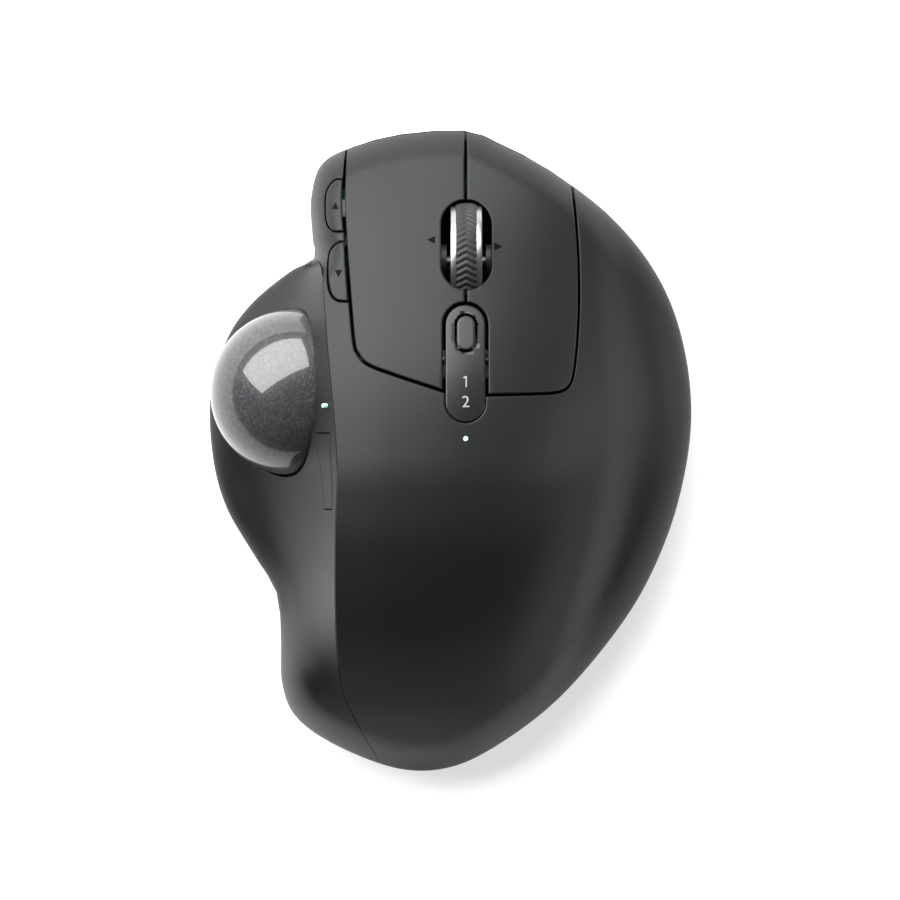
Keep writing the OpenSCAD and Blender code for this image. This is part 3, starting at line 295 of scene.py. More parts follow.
def tidied(outline):
    """The outline without doubled points and without hooks that turn back on themselves."""
    points = [np.array(p, float) for p in outline]
    changed = True
    while changed:
        changed = False
        kept = []
        for i, here in enumerate(points):
            before = kept[-1] if kept else points[-1]
            after = points[(i + 1) % len(points)]
            run, next_run = here - before, after - here
            length, next_length = np.hypot(*run), np.hypot(*next_run)
            straight = run @ next_run / max(length * next_length, 1e-9)
            if length < shortest_run or straight < hook_straightness:
                changed = True
            else:
                kept.append(here)
        points = kept
    return np.array(points)


def panel(name, outline, place, soft_edges, step, wall, rings=(), cuts=(), lift=0):
    """A moulded panel: a filled outline, ringed inside its rim, cut into a grid, bent to its
    surface with soft edges, and given a thickness and openings."""
    outline = tidied(outline)
    bpy.ops.object.select_all(action="DESELECT")
    bpy.ops.mesh.primitive_circle_add(vertices=len(outline), fill_type="NGON")
    piece = bpy.context.object
    piece.name = name
    piece.data.name = name
    ring = np.array([v.co[:2] for v in piece.data.vertices])
    turn = np.sum(ring[:, 0] * np.roll(ring[:, 1], -1) - ring[:, 1] * np.roll(ring[:, 0], -1))
    way = np.sum(outline[:, 0] * np.roll(outline[:, 1], -1)
                 - outline[:, 1] * np.roll(outline[:, 0], -1))
    ordered = outline if turn * way > 0 else outline[::-1]
    for vertex, spot in zip(piece.data.vertices, ordered):
        vertex.co = (spot[0] * MM, spot[1] * MM, 0)
    bpy.ops.object.mode_set(mode="EDIT")
    bpy.ops.mesh.select_mode(type="FACE")
    bpy.ops.mesh.select_all(action="SELECT")
    for width in rings:
        bpy.ops.mesh.inset(thickness=width * MM, depth=0, use_even_offset=False)
    for axis in (0, 1):
        low, high = outline[:, axis].min(), outline[:, axis].max()
        for cut in np.arange(low + step * 0.6, high - step * 0.3, step):
            plane_at = [0, 0, 0]
            plane_way = [0, 0, 0]
            plane_at[axis] = cut * MM
            plane_way[axis] = 1
            bpy.ops.mesh.select_all(action="SELECT")
            bpy.ops.mesh.bisect(plane_co=plane_at, plane_no=plane_way, threshold=1e-6)
    bpy.ops.object.mode_set(mode="OBJECT")

    mesh = piece.data
    flat = np.zeros(len(mesh.vertices) * 3)
    mesh.vertices.foreach_get("co", flat)
    flat = flat.reshape(-1, 3)[:, :2] / MM

    def bent(spots):
        sunk = np.full(len(spots), -float(lift))
        for line, radius in soft_edges:
            near = np.clip(1 - off_line(spots, line) / radius, 0, 1)
            sunk = np.maximum(sunk, radius * (1 - np.sqrt(1 - near ** 2)) - lift)
        return place(spots, sunk)

    mesh.vertices.foreach_set("co", (bent(flat) * MM).ravel())
    mesh.update()

    # The whole face goes down by the wall, and by next to nothing at the rim
    bpy.ops.object.mode_set(mode="EDIT")
    bpy.ops.mesh.select_all(action="SELECT")
    bpy.ops.mesh.extrude_region_move(TRANSFORM_OT_translate={"value": (0, 0, -1e-7)})
    bpy.ops.object.mode_set(mode="OBJECT")
    moved = np.zeros(len(mesh.vertices), bool)
    mesh.vertices.foreach_get("select", moved)
    spots = np.zeros(len(mesh.vertices) * 3)
    mesh.vertices.foreach_get("co", spots)
    spots = spots.reshape(-1, 3)
    share = np.clip(off_line(spots[moved, :2] / MM, rim, True) / wall, 0.03, 1)
    spots[moved, 2] -= wall * MM * share
    mesh.vertices.foreach_set("co", spots.ravel())
    mesh.update()
    bpy.ops.object.mode_set(mode="EDIT")
    bpy.ops.mesh.select_all(action="SELECT")
    bpy.ops.mesh.normals_make_consistent(inside=False)
    bpy.ops.object.mode_set(mode="OBJECT")
    for cutter, cut_way in cuts:
        cut_away(piece, cutter, cut_way)
    bpy.ops.object.select_all(action="DESELECT")
    bpy.context.view_layer.objects.active = piece
    piece.select_set(True)
    bpy.ops.object.shade_smooth()
    surface_shade(piece, bent)
    return piece


def finished(piece, coat, body, slot, *stands_for):
    """Gives a finished piece its material, the body it rides on and the nodes it stands for."""
    piece.data.materials.clear()
    piece.data.materials.append(coat)
    for node in stands_for:
        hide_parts(node)
    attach(piece, body)


def grained(name, colour, roughness, grain=0.06, grain_size=0.00016, shift=0.12, shine=0.35):
    """Moulded plastic: fine spark grain, slow colour drift and a little handling gloss."""
    material, tree, shader = shader_material(name, colour, roughness)
    place = tree.nodes.new("ShaderNodeTexCoord")
    drift = tree.nodes.new("ShaderNodeTexNoise")
    drift.inputs["Scale"].default_value = 38
    drift.inputs["Detail"].default_value = 4
    fine = tree.nodes.new("ShaderNodeTexNoise")
    fine.inputs["Scale"].default_value = 1 / grain_size
    fine.inputs["Detail"].default_value = 2
    tint = tree.nodes.new("ShaderNodeMix")
    tint.data_type = "RGBA"
    tint.inputs["A"].default_value = (*[c * (1 - shift) for c in colour], 1)
    tint.inputs["B"].default_value = (*[c * (1 + shift) for c in colour], 1)
    gloss = tree.nodes.new("ShaderNodeMapRange")
    gloss.inputs["To Min"].default_value = roughness - 0.05
    gloss.inputs["To Max"].default_value = roughness + 0.05
    bump = tree.nodes.new("ShaderNodeBump")
    bump.inputs["Strength"].default_value = grain
    bump.inputs["Distance"].default_value = 0.00004
    link = tree.links.new
    link(place.outputs["Object"], drift.inputs["Vector"])
    link(place.outputs["Object"], fine.inputs["Vector"])
    link(drift.outputs["Fac"], tint.inputs["Factor"])
    link(tint.outputs["Result"], shader.inputs["Base Color"])
    link(drift.outputs["Fac"], gloss.inputs["Value"])
    link(gloss.outputs["Result"], shader.inputs["Roughness"])
    link(fine.outputs["Fac"], bump.inputs["Height"])
    link(bump.outputs["Normal"], shader.inputs["Normal"])
    shader.inputs["Specular IOR Level"].default_value = shine
    return material


soft_touch = grained("soft_touch", (0.0085, 0.009, 0.0096), 0.46, grain=0.10, shine=0.2)

seam = 0.5
left_cut = [
    (-21.5, 61.6), (-21.8, 52), (-21.3, 42.8), (-20.3, 30.5), (-19.4, 21.6), (-18.6, 19.4),
    (-17.2, 17.6), (-15, 16.4), (-12.5, 15.5), (-8.5, 14.1), (-4.5, 12.8), (-0.9, 11.6)]
right_cut = [
    (8, 11), (12.5, 11.1), (17, 11.25), (21, 11.5), (23.4, 12.3), (24.8, 14.2),
    (25.6, 18.5), (26.3, 27), (26.4, 37), (26, 46), (25.3, 54.5), (25.2, 60)]
forward_cut = [(-21.6, 55.4), (-23.6, 55.2), (-25.2, 53), (-25.5, 50), (-25.2, 46.4),
               (-23.8, 44.4), (-21.4, 44.2)]
back_cut = [(-21.1, 42.4), (-22.6, 42.2), (-24.4, 40.4), (-24.8, 36.5), (-24.3, 32.2),
            (-22.8, 30.2), (-20.3, 29.9)]
strip_at = np.array([3, 17.75])
strip_radius = 4.1
strip_half = 11.95 - strip_radius


def smooth_line(points, steps=6):
    """An open smooth line through the points."""
    points = [np.array(p, float) for p in points]
    chain = [2 * points[0] - points[1], *points, 2 * points[-1] - points[-2]]
    line = []
    for a, b, c, d in zip(chain, chain[1:], chain[2:], chain[3:]):
        line += smooth_stretch(a, b, c, d, steps)
    line.append(points[-1])
    return np.array(line)


def arc(centre, radius, start, end, steps=18):
    angles = np.radians(np.linspace(start, end, steps + 1))
    return np.column_stack([centre[0] + radius * np.cos(angles),
                            centre[1] + radius * np.sin(angles)])


def offset_line(line, by):
    """The line moved to its left by that much."""
    ahead = np.gradient(np.asarray(line, float), axis=0)
    ahead /= np.linalg.norm(ahead, axis=1, keepdims=True)
    return line + by * np.column_stack([-ahead[:, 1], ahead[:, 0]])


def rim_run(start, end):
    """The rim's points anticlockwise from near one place to near another."""
    i, j = (int(np.argmin(np.hypot(*(rim - np.asarray(p, float)).T))) for p in (start, end))
    return np.array([rim[(i + k) % len(rim)] for k in range((j - i) % len(rim) + 1)])


front_rim = rim[(rim[:, 1] > 45) & (rim[:, 0] > -26)]
front_rim = front_rim[np.argsort(front_rim[:, 0])]


def front_spot(x):
    return np.array([x, np.interp(x, front_rim[:, 0], front_rim[:, 1])])


def front_run(right, left):
    """The front rim from one x to another further left."""
    between = front_rim[(front_rim[:, 0] > left + 0.3) & (front_rim[:, 0] < right - 0.3)]
    return np.vstack([front_spot(right), between[::-1], front_spot(left)])


def under_rim(line):
    """The part of a line that lies inside the front rim, ended on the rim."""
    return np.array([p for p in line if p[1] < front_spot(p[0])[1] - 0.3])


left_line = under_rim(smooth_line(placed(left_cut), 8))
right_line = under_rim(smooth_line(placed(right_cut), 8))


def left_edge(y):
    return np.interp(y, left_line[::-1, 1], left_line[::-1, 0])


def ended_on_key(line):
    """A side button's cut line with both ends on the left key's line."""
    line = np.array(line)
    inner = line[1:-1]
    inner = inner[inner[:, 0] < left_edge(inner[:, 1]) - 0.25]
    first = [left_edge(line[0, 1]), line[0, 1]]
    last = [left_edge(line[-1, 1]), line[-1, 1]]
    return np.vstack([first, inner, last])


forward_line = ended_on_key(smooth_line(placed(forward_cut), 5))
back_line = ended_on_key(smooth_line(placed(back_cut), 5))
foot_centre = strip_at - [0, strip_half]
strip_foot = arc(foot_centre, strip_radius, 0, -180, 24)
upper_left = left_line[left_line[:, 1] > forward_line[0][1] + 0.3]
lower_left = left_line[left_line[:, 1] < back_line[-1][1] - 0.3]
lower_left = lower_left[lower_left[:, 0] < strip_at[0] - strip_radius - 0.2]
left_joint = [strip_at[0] - strip_radius, lower_left[-1][1] - 0.1]
right_joint = [strip_at[0] + strip_radius, right_line[0][1]]
crease_line = smooth_line(crease, 6)
rear_rim = rim[rim[:, 1] < -55]
rear_rim = rear_rim[np.argsort(rear_rim[:, 0])]
rear_y = np.interp(crease_line[:, 0], rear_rim[:, 0], rear_rim[:, 1])
crease_line = crease_line[crease_line[:, 1] > rear_y + 0.4]
crease_line = np.vstack([crease_line, [crease_line[-1][0] + 0.1, np.interp(
    crease_line[-1][0] + 0.1, rear_rim[:, 0], rear_rim[:, 1])]])
key_side = np.vstack([
    front_spot(right_line[-1][0]), right_line[::-1], right_joint, strip_foot, left_joint,
    lower_left[::-1], back_line[::-1], forward_line[::-1], upper_left[::-1],
    front_spot(upper_left[0][0])])
crown_crease = crease_line + [0.02, 0]
crown_rear = rim_run(crown_crease[-1], key_side[0])
crown_front = rim_run(key_side[-1], crown_crease[0])
crown_outline = np.vstack([crown_rear[1:-1], key_side, crown_front[1:-2], crown_crease])
rim_rings = (0.03, 0.05, 0.08, 0.12, 0.16)
crown_grid = 1.15
crown_wall = 1.8
gap_edge = 0.35
crease_edge = 0.2
prism_foot, prism_head = 30, 60


def prism(name, outline):
    """An upright cutting prism over an outline, from below the crown to above it."""
    bpy.ops.object.select_all(action="DESELECT")
    bpy.ops.mesh.primitive_circle_add(vertices=len(outline), fill_type="NGON")
    cutter = bpy.context.object
    cutter.name = name
    for vertex, spot in zip(cutter.data.vertices, outline):
        vertex.co = (spot[0] * MM, spot[1] * MM, prism_foot * MM)
    bpy.ops.object.mode_set(mode="EDIT")
    bpy.ops.mesh.select_all(action="SELECT")
    bpy.ops.mesh.extrude_region_move(
        TRANSFORM_OT_translate={"value": (0, 0, (prism_head - prism_foot) * MM)})
    bpy.ops.mesh.select_all(action="SELECT")
    bpy.ops.mesh.normals_make_consistent(inside=False)
    bpy.ops.object.mode_set(mode="OBJECT")
    return cutter


status_at = (3, 2.7)
light_radius = 0.52
light_cutter = prism("light_cutter", arc(status_at, light_radius, 0, 345, 23))
top_shell = panel("crown_cover", crown_outline, crown_place,
                  [(key_side, gap_edge), (crown_crease, crease_edge)],
                  step=crown_grid, wall=crown_wall, rings=rim_rings,
                  cuts=[(light_cutter, "DIFFERENCE")])
finished(top_shell, soft_touch, "body", "soft_shell", "top_shell")
bpy.data.objects.remove(light_cutter)


# ---- Main keys left and right of the wheel ----
# Two long keycaps of soft-touch ABS that hinge on pins under the crown. Each has a dark gap
# all round, half of the wheel slot, and a small arrow printed beside it for the tilting wheel.
seam_x = placed([(3.2, 0)])[0][0]
slot_at = np.array([3.2, 42])
slot_radius = 5.1
slot_half = 9.3 - slot_radius
key_gap = 0.5
front_lap = 0.42
head_centre = strip_at + [0, strip_half]
collar = strip_radius + key_gap
left_x = seam_x - seam / 2
right_x = seam_x + seam / 2


def angle_at(x, centre, radius):
    """The angle above the centre line at which a circle crosses x."""
    return math.degrees(math.acos((x - centre[0]) / radius))


def key_cap(name, outline, edge, node, body):
    cap = panel(name, outline, crown_place, [(edge, gap_edge)], step=crown_grid,
                wall=crown_wall, rings=rim_rings)
    finished(cap, soft_touch, body, "soft_shell", node)


left_in = under_rim(offset_line(left_line, key_gap))
left_in = left_in[left_in[:, 0] < strip_at[0] - collar - 0.3]
left_edge_line = np.vstack([
    front_spot(left_in[0][0]) - [0, front_lap], left_in,
    [strip_at[0] - collar, left_in[-1][1] - 0.1],
    arc(head_centre, collar, 180, angle_at(left_x, head_centre, collar)),
    arc(slot_at - [0, slot_half], slot_radius,
        360 - angle_at(left_x, slot_at, slot_radius), 180),
    arc(slot_at + [0, slot_half], slot_radius, 180, angle_at(left_x, slot_at, slot_radius)),
    front_spot(left_x) - [0, front_lap]])
left_front = front_run(left_x, left_in[0][0]) - [0, front_lap]
key_cap("left_keycap", np.vstack([left_edge_line, left_front[1:-1]]), left_edge_line,
        "left_key", "left_key")

right_in = under_rim(offset_line(right_line, key_gap))
right_in = right_in[right_in[:, 0] > strip_at[0] + collar + 0.3]
right_edge_line = np.vstack([
    front_spot(right_x) - [0, front_lap],
    arc(slot_at + [0, slot_half], slot_radius, angle_at(right_x, slot_at, slot_radius), 0),
    arc(slot_at - [0, slot_half], slot_radius, 0, -angle_at(right_x, slot_at, slot_radius)),
    arc(head_centre, collar, angle_at(right_x, head_centre, collar), 0),
    [strip_at[0] + collar, right_in[0][1]], right_in,
    front_spot(right_in[-1][0]) - [0, front_lap]])
right_front = front_run(right_in[-1][0], right_x) - [0, front_lap]
key_cap("right_keycap", np.vstack([right_edge_line, right_front[1:-1]]), right_edge_line,
        "right_key", "right_key")

key_print = grained("key_print", (0.0015, 0.0015, 0.0015), 0.8, grain=0.04, shine=0.08)


def printed(name, outline, body, slot, ink, lift=0.03, step=0.4):
    """A thin printed mark that follows the crown."""
    mark = panel(name, outline, crown_place, [], step=step, wall=0.06, lift=lift)
    finished(mark, ink, body, slot)


def arrow(tip, back, wide):
    """A small triangle from its tip, the way back to its base and its width."""
    tip, back = np.array(tip, float), np.array(back, float)
    side = np.array([-back[1], back[0]]) / np.hypot(*back) * wide / 2
    return [tip, tip + back - side, tip + back + side]


printed("tilt_arrow_left", arrow((-4.7, 42.9), (1.55, 0), 1.6), "left_key", "soft_shell",
        key_print)
printed("tilt_arrow_right", arrow((10.6, 41.6), (-1.75, 0), 1.7), "right_key", "soft_shell",
        key_print)


# ---- Side buttons on the thumb edge ----
# Two small soft-touch buttons for forward and back, each a moulding of its own. Each is half
# a lozenge against the left key and has a printed arrow.
button_gap = 0.3


def side_button(name, line, node, body):
    curved = offset_line(line, button_gap)[1:-1]
    curved = curved[curved[:, 0] < left_edge(curved[:, 1]) - 0.45]
    straight = [[left_edge(y) - 0.12, y] for y in np.linspace(
        curved[-1][1], curved[0][1], 8)]
    outline = np.vstack([curved, straight])
    button = panel(name, outline, crown_place, [(np.vstack([outline, outline[:1]]), 0.4)],
                   step=0.7, wall=1.6, rings=(0.05, 0.1, 0.15), lift=0.15)
    finished(button, soft_touch, body, "soft_shell", node)


side_button("forward_cap", forward_line, "forward_button", "forward_button")
side_button("back_cap", back_line, "back_button", "back_button")
printed("forward_arrow", arrow((-23.4, 50.8), (0, -1.5), 1.5), "forward_button", "soft_shell",
        key_print, lift=0.18)
printed("back_arrow", arrow((-22.6, 35.2), (0, 1.5), 1.5), "back_button", "soft_shell",
        key_print, lift=0.18)


# ---- Thumb side casing ----
# The scooped side panel of soft-touch ABS that rises from the parting line to the crease. The
# ball comes out through its round opening, and a narrow button lies below the crease.
thumb_hollow = [
    (-0.8, 1.1), (-0.5, 1.5), (-0.3, 2.1), (-0.1, 2.2), (0.05, 1.6), (0.18, 1.35),
    (0.32, 1.35), (0.45, 1.8), (0.58, 2.6)]
hollow_roll = 4
thumb_grid = 0.9
thumb_wall = 2.6
ball_at = np.array([-32.1, 12.2, 24.7])
ball_d = 34
opening_d = 34.7
opening_tilt = 36
opening_reach = 60
crease_by_y = [(y, x) for x, y in crease[::-1]]
precision_y = -3.85
precision_size = (12, 15.1, 5.5)
precision_drop = 3.6
precision_out = 4


def crease_x(y):
    return along(y, crease_by_y)


def thumb_place(points, sunk):
    """The thumb side: the scoop between the crease and the rim, faded into the crown."""
    points = np.asarray(points, float)
    x, y = points.T
    off_rim = off_line(points, rim, True)
    low = parting(y)
    ridge = crease_x(y)
    out = np.maximum(ridge - x, 0)
    share = out / (out + off_rim + 0.01)
    high = bare_crown(np.column_stack([ridge, y]))
    bare = low + 4 + (high - low - 4) * (1 - share) ** along(y / half_length, thumb_hollow)
    hollow = low + (bare - low) * rounded(off_rim / hollow_roll)
    over = crown(points, off_rim)
    blend = ease((y + 50) / 20) * (1 - ease((y - 38 * stretch[1]) / 2))
    return np.column_stack([points, over + (hollow - over) * blend - sunk])


def block(name, size, at):
    """A plain cutting block, in millimetres."""
    bpy.ops.object.select_all(action="DESELECT")
    bpy.ops.mesh.primitive_cube_add(size=1, location=[v * MM for v in at])
    cutter = bpy.context.object
    cutter.name = name
    cutter.scale = [v * MM for v in size]
    bpy.ops.object.transform_apply(location=True, rotation=True, scale=True)
    return cutter


precision_x = float(crease_x(precision_y))
precision_top = float(bare_crown([(precision_x, precision_y)])[0]) - precision_drop
precision_at = (precision_x - precision_out, precision_y,
                precision_top - precision_size[2] / 2)
opening_way = Vector((-math.cos(math.radians(opening_tilt)), 0,
                      math.sin(math.radians(opening_tilt))))
bpy.ops.object.select_all(action="DESELECT")
bpy.ops.mesh.primitive_cylinder_add(
    vertices=160, radius=opening_d / 2 * MM, depth=opening_reach * MM,
    location=(Vector(ball_at) + opening_way * (opening_reach / 2)) * MM,
    rotation=opening_way.to_track_quat("Z", "Y").to_euler())
opening_cutter = bpy.context.object
bpy.ops.object.transform_apply(location=True, rotation=True, scale=True)
precision_hole = block("precision_hole", [v + seam for v in precision_size], precision_at)
precision_keep = block("precision_keep", [v - 0.1 for v in precision_size], precision_at)

thumb_crease = crease_line - [0.04, 0]
thumb_rim = rim_run(thumb_crease[0], thumb_crease[-1])
thumb_outline = np.vstack([thumb_rim[2:-1], thumb_crease[::-1]])
thumb_panel = panel("thumb_cover", thumb_outline, thumb_place, [(thumb_crease, crease_edge)],
                    step=thumb_grid, wall=thumb_wall, rings=rim_rings,
                    cuts=[(opening_cutter, "DIFFERENCE"), (precision_hole, "DIFFERENCE")])
finished(thumb_panel, soft_touch, "body", "thumb_side", "thumb_shell")

precision_cap = panel("precision_cap", thumb_outline, thumb_place,
                      [(thumb_crease, crease_edge)],
                      step=thumb_grid, wall=thumb_wall, rings=rim_rings,
                      cuts=[(precision_keep, "INTERSECT")], lift=0.1)
finished(precision_cap, soft_touch, "precision_button", "thumb_side", "precision_button")
for cutter in (opening_cutter, precision_hole, precision_keep):
    bpy.data.objects.remove(cutter)


# ---- Thumb ball ----
# A polished phenolic ball with pearl flecks under a clear skin, 34 mm across. It rests on
# three ceramic beads in its cup and turns freely under the thumb.
def pearl_material():
    material, tree, shader = shader_material("ball_pearl", (0.05, 0.052, 0.054), 0.3)
    place = tree.nodes.new("ShaderNodeTexCoord")
    flecks = tree.nodes.new("ShaderNodeTexVoronoi")
    flecks.inputs["Scale"].default_value = 3600
    clouds = tree.nodes.new("ShaderNodeTexNoise")
    clouds.inputs["Scale"].default_value = 420
    clouds.inputs["Detail"].default_value = 6
    picked = tree.nodes.new("ShaderNodeMapRange")
    picked.inputs["From Min"].default_value = 0.50
    picked.inputs["From Max"].default_value = 0.95
    shade = tree.nodes.new("ShaderNodeSeparateColor")
    mix = tree.nodes.new("ShaderNodeMix")
    mix.data_type = "RGBA"
    mix.inputs["A"].default_value = (0.030, 0.031, 0.033, 1)
    mix.inputs["B"].default_value = (0.080, 0.083, 0.086, 1)
    depth = tree.nodes.new("ShaderNodeMath")
    depth.operation = "MULTIPLY"
    link = tree.links.new
    link(place.outputs["Object"], flecks.inputs["Vector"])
    link(place.outputs["Object"], clouds.inputs["Vector"])
    link(flecks.outputs["Color"], shade.inputs["Color"])
    link(shade.outputs["Red"], picked.inputs["Value"])
    link(picked.outputs["Result"], depth.inputs[0])
    link(clouds.outputs["Fac"], depth.inputs[1])
    link(depth.outputs["Value"], mix.inputs["Factor"])
    link(mix.outputs["Result"], shader.inputs["Base Color"])
    shader.inputs["Metallic"].default_value = 0.1
    shader.inputs["Coat Weight"].default_value = 0.75
    shader.inputs["Specular IOR Level"].default_value = 0.2
    shader.inputs["Coat Roughness"].default_value = 0.03
    return material


ball_cuts = 47
bpy.ops.object.select_all(action="DESELECT")
bpy.ops.mesh.primitive_cube_add(size=ball_d * MM)
ball = bpy.context.object
ball.name = "pearl_ball"
bpy.ops.object.mode_set(mode="EDIT")
bpy.ops.mesh.select_all(action="SELECT")
bpy.ops.mesh.subdivide(number_cuts=ball_cuts)
bpy.ops.transform.tosphere(value=1)
bpy.ops.object.mode_set(mode="OBJECT")
for vertex in ball.data.vertices:
    vertex.co = vertex.co.normalized() * (ball_d / 2 * MM) + Vector(ball_at) * MM
bpy.ops.object.shade_smooth()
finished(ball, pearl_material(), "ball", "ball_pearl", "ball")


# ---- Scroll wheel ----
# A rubber tyre with fine chevron ribs on a black hub, between two satin metal rims. It turns
# on a steel axle in a yoke that tips sideways, and the cradle under the yoke is pushed down.
wheel_at = np.array([3.2, 38.7455, 28.7017])
wheel_r = 12
tyre_inner_r = 10.0
hoop_inner_r = 7.2
tyre_w = 4.2
rim_w = 1.1
rim_r = 11.4


def turned(name, profile, steps):
    """A ring turned about the wheel's axis from its closed profile of (across, radius)."""
    bpy.ops.object.select_all(action="DESELECT")
    bpy.ops.mesh.primitive_circle_add(vertices=len(profile), fill_type="NOTHING")
    ring = bpy.context.object
    ring.name = name
    for vertex, (across, radius) in zip(ring.data.vertices, profile):
        vertex.co = Vector((wheel_at[0] + across, wheel_at[1], wheel_at[2] + radius)) * MM
    bpy.ops.object.mode_set(mode="EDIT")
    bpy.ops.mesh.select_all(action="SELECT")
    bpy.ops.mesh.spin(steps=steps, angle=math.tau, center=[v * MM for v in wheel_at],
                      axis=(1, 0, 0))
    bpy.ops.mesh.select_all(action="SELECT")
    bpy.ops.mesh.remove_doubles(threshold=1e-6)
    bpy.ops.mesh.normals_make_consistent(inside=False)
    bpy.ops.object.mode_set(mode="OBJECT")
    bpy.ops.object.shade_smooth_by_angle(angle=math.radians(35))
    return ring


tread_across = np.linspace(-tyre_w / 2, tyre_w / 2, 17)
tread = [(x, wheel_r - 0.02 - 0.35 * (abs(x) / (tyre_w / 2)) ** 4) for x in tread_across]
tyre = turned("wheel_tread",
              tread + [(tyre_w / 2, tyre_inner_r), (-tyre_w / 2, tyre_inner_r)], 720)
rib_count = 56
for vertex in tyre.data.vertices:
    from_axle = vertex.co / MM - Vector(wheel_at)
    radius = math.hypot(from_axle.y, from_axle.z)
    if radius > 11 and abs(from_axle.x) < tyre_w / 2 - 0.05:
        turn = math.atan2(from_axle.y, from_axle.z) * rib_count / math.tau
        phase = (turn + abs(from_axle.x) * 0.42) % 1
        cut = 0.42 * min(1, max(0, 1.6 * abs(phase - 0.5) - 0.1))
        share = 1 - cut / radius
        vertex.co.y = (wheel_at[1] + from_axle.y * share) * MM
        vertex.co.z = (wheel_at[2] + from_axle.z * share) * MM
tyre.data.update()
rubber = grained("tyre_rubber", (0.010, 0.010, 0.0105), 0.6, grain=0.12)
finished(tyre, rubber, "wheel", "rubber", "wheel_tyre")

satin_metal, satin_tree, satin_shader = shader_material("satin_metal", (0.36, 0.365, 0.37), 0.3)
satin_shader.inputs["Metallic"].default_value = 1
turning = satin_tree.nodes.new("ShaderNodeTexNoise")
turning.inputs["Scale"].default_value = 900
turned_place = satin_tree.nodes.new("ShaderNodeTexCoord")
turned_bump = satin_tree.nodes.new("ShaderNodeBump")
turned_bump.inputs["Strength"].default_value = 0.05
turned_bump.inputs["Distance"].default_value = 0.00002
satin_tree.links.new(turned_place.outputs["Object"], turning.inputs["Vector"])
satin_tree.links.new(turning.outputs["Fac"], turned_bump.inputs["Height"])
satin_tree.links.new(turned_bump.outputs["Normal"], satin_shader.inputs["Normal"])
for number, side in enumerate((-1, 1)):
    inner, outer = tyre_w / 2 + 0.01, tyre_w / 2 + rim_w
    bevel = 0.3
    profile = [(inner, hoop_inner_r), (inner, rim_r), (outer - bevel, rim_r - 0.05),
               (outer - 0.1, rim_r - 0.12), (outer, rim_r - bevel), (outer, hoop_inner_r)]
    hoop = turned(f"wheel_hoop_{number + 1}", [(side * x, r) for x, r in profile], 240)
    finished(hoop, satin_metal, "wheel", "rim_metal", "wheel_rims")


# ---- Status strip, mode button and lights ----
# A dark semi-gloss strip set into the crown behind the wheel, with an oval button at its head,
# two lit digits and a pinhole light below. A second pinhole light sits under the crease.
gloss_black = grained("gloss_strip", (0.006, 0.0065, 0.007), 0.32, grain=0.02)
mode_at = np.array([3.1, 23.9])
mode_size = (3.9, 7.2)


def pill(centre, radius, half, steps=20):
    """A stadium that stands along Y."""
    centre = np.array(centre, float)
    return np.vstack([arc(centre + [0, half], radius, 0, 180, steps),
                      arc(centre - [0, half], radius, 180, 360, steps)])


mode_radius = mode_size[0] / 2
mode_half = mode_size[1] / 2 - mode_radius
mode_opening = pill(mode_at, mode_radius + 0.4, mode_half)
strip_edge = pill(strip_at, strip_radius - 0.12, strip_half)
mode_cutter = prism("mode_cutter", mode_opening)
strip = panel("status_face", strip_edge, crown_place,
              [(np.vstack([strip_edge, strip_edge[:1]]), 0.3),
               (np.vstack([mode_opening, mode_opening[:1]]), 0.2)],
              step=0.6, wall=1.2, rings=(0.06, 0.1, 0.15),
              cuts=[(mode_cutter, "DIFFERENCE")])
finished(strip, gloss_black, "body", "gloss_strip", "status_strip")
bpy.data.objects.remove(mode_cutter)

mode_edge = pill(mode_at, mode_radius - 0.1, mode_half)
mode_plastic = grained("mode_plastic", (0.016, 0.0165, 0.0175), 0.4, grain=0.05)
mode_cap = panel("mode_cap", mode_edge, crown_place,
                 [(np.vstack([mode_edge, mode_edge[:1]]), 0.5)],
                 step=0.5, wall=1.2, rings=(0.06, 0.1, 0.15, 0.2), lift=0.15)
finished(mode_cap, mode_plastic, "mode_button", "mode_key", "mode_button")


def glowing(name, colour, strength):
    material, tree, shader = shader_material(name, colour, 0.4)
    place = tree.nodes.new("ShaderNodeTexCoord")
    haze = tree.nodes.new("ShaderNodeTexNoise")
    haze.inputs["Scale"].default_value = 900
    tint = tree.nodes.new("ShaderNodeMix")
    tint.data_type = "RGBA"
    tint.inputs["A"].default_value = (*[c * 0.92 for c in colour], 1)
    tint.inputs["B"].default_value = (*colour, 1)
    tree.links.new(place.outputs["Object"], haze.inputs["Vector"])
    tree.links.new(haze.outputs["Fac"], tint.inputs["Factor"])
    tree.links.new(tint.outputs["Result"], shader.inputs["Base Color"])
    tree.links.new(tint.outputs["Result"], shader.inputs["Emission Color"])
    shader.inputs["Emission Strength"].default_value = strength
    return material


digit_white = glowing("digit_white", (0.26, 0.27, 0.27), 0.04)


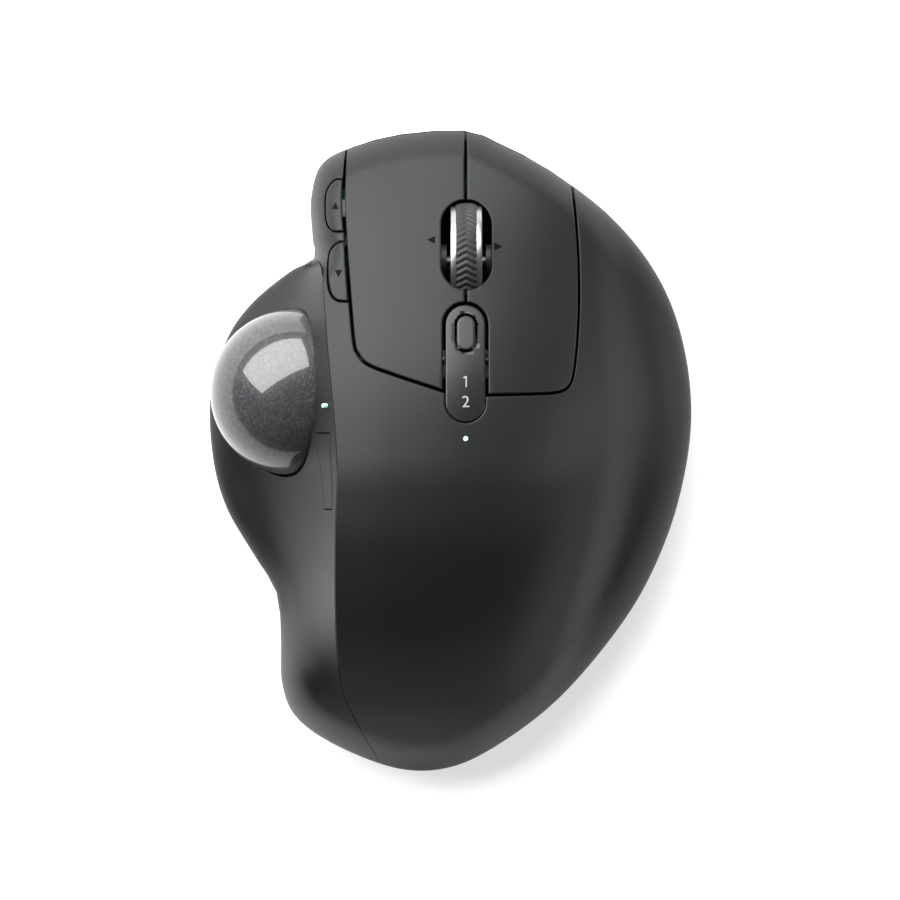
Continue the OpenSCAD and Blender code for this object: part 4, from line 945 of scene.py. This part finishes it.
def digit(figure, centre, tall):
    """A plain figure moulded through the strip, flush with its face."""
    bpy.ops.object.select_all(action="DESELECT")
    bpy.ops.object.text_add()
    bpy.context.object.data.body = figure
    bpy.context.object.data.extrude = 0.05
    bpy.ops.object.convert(target="MESH")
    piece = bpy.context.object
    piece.name = "digit_" + figure
    spots = np.array([v.co for v in piece.data.vertices])
    low, high = spots.min(0), spots.max(0)
    grow = tall / (high[1] - low[1])
    flat = (spots[:, :2] - (low[:2] + high[:2]) / 2) * grow + centre
    depth = np.where(spots[:, 2] > 0, -0.03, 0.25)
    for vertex, spot in zip(piece.data.vertices, crown_place(flat, depth)):
        vertex.co = Vector(spot) * MM
    bpy.ops.object.mode_set(mode="EDIT")
    bpy.ops.mesh.select_all(action="SELECT")
    bpy.ops.mesh.remove_doubles(threshold=1e-7)
    bpy.ops.mesh.normals_make_consistent(inside=False)
    bpy.ops.object.mode_set(mode="OBJECT")
    finished(piece, digit_white, "body", "light_pipe", "digit_lights")


figure_one = np.array([(0.12, -1.12), (0.12, 1.12), (-0.08, 1.12), (-0.6, 0.86), (-0.52, 0.6),
                       (-0.14, 0.76), (-0.14, -1.12)])
one_at = [3.15, 14.1]
two_at = (3.05, 10.1)
figure_tall = 2.25
printed("digit_1", figure_one[::-1] + one_at, "body", "light_pipe", digit_white)
digit("2", two_at, figure_tall)


# ---- Nodes kept from the frame ----
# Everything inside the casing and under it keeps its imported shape: moulded frames and cup,
# boards with their chips and switches, the cell, the screws, the pivot and the tilting base.
inner_black = grained("inner_black", (0.014, 0.0145, 0.0155), 0.5, grain=0.08)
lower_black = grained("lower_black", (0.012, 0.0125, 0.0135), 0.5, grain=0.10)
kept = {
    "inner_plastic": inner_black, "lower_case": lower_black, "rubber": rubber,
    "rim_metal": satin_metal, "thumb_side": soft_touch, "soft_shell": soft_touch,
    "gloss_strip": gloss_black, "mode_key": mode_plastic,
    "light_pipe": glowing("light_green", (0.42, 0.90, 0.58), 0.55),
    "ceramic": grained("ceramic_white", (0.80, 0.79, 0.75), 0.12, grain=0.01, shift=0.03),
    "lens": grained("clear_lens", (0.55, 0.62, 0.64), 0.06, grain=0.01, shift=0.03),
    "board": grained("solder_mask", (0.014, 0.085, 0.040), 0.34, grain=0.05),
    "chip": grained("chip_epoxy", (0.016, 0.016, 0.017), 0.42, grain=0.12),
    "switch": grained("switch_plastic", (0.62, 0.62, 0.60), 0.4, grain=0.06),
    "encoder": grained("encoder_blue", (0.040, 0.16, 0.37), 0.4, grain=0.06),
    "cell": grained("cell_wrap", (0.33, 0.34, 0.36), 0.36, grain=0.03),
    "slider": grained("slider_white", (0.55, 0.56, 0.57), 0.4, grain=0.06),
}


def worked_metal(name, colour, roughness):
    material, tree, shader = shader_material(name, colour, roughness)
    place = tree.nodes.new("ShaderNodeTexCoord")
    streaks = tree.nodes.new("ShaderNodeTexNoise")
    streaks.inputs["Scale"].default_value = 700
    gloss = tree.nodes.new("ShaderNodeMapRange")
    gloss.inputs["To Min"].default_value = roughness * 0.75
    gloss.inputs["To Max"].default_value = roughness * 1.25
    tree.links.new(place.outputs["Object"], streaks.inputs["Vector"])
    tree.links.new(streaks.outputs["Fac"], gloss.inputs["Value"])
    tree.links.new(gloss.outputs["Result"], shader.inputs["Roughness"])
    shader.inputs["Metallic"].default_value = 1
    return material


kept["steel"] = worked_metal("bright_steel", (0.60, 0.61, 0.62), 0.25)
kept["screw_steel"] = worked_metal("dark_steel", (0.35, 0.36, 0.38), 0.35)
# The coated steel is the plates' own finish and also the painted shade of the key pins and wheel
# axle below.
kept["plate_steel"] = worked_metal("coated_steel_and_pin_shade", (0.10, 0.10, 0.105), 0.45)
kept["magnet"] = worked_metal("nickel_magnet", (0.55, 0.55, 0.54), 0.3)
kept["port_metal"] = worked_metal("port_metal", (0.66, 0.67, 0.68), 0.3)
node_slots = {part["node"]: part.get("material_slot") for part in frame["record"]["subparts"]}
# Painted shade: the bright steel key pins and wheel axle get the dark coated steel, which stands
# for the shade they lie in under the key gaps and the wheel slot, so they show no glints there.
pins_in_painted_shade = ("key_pins", "wheel_axle")
for name, node in nodes.items():
    coat = kept.get(node_slots.get(name), inner_black)
    # painted shade on the key pins and wheel axle
    if name in pins_in_painted_shade:
        coat = kept["plate_steel"]
    for number in range(len(node.data.materials)):
        node.data.materials[number] = coat
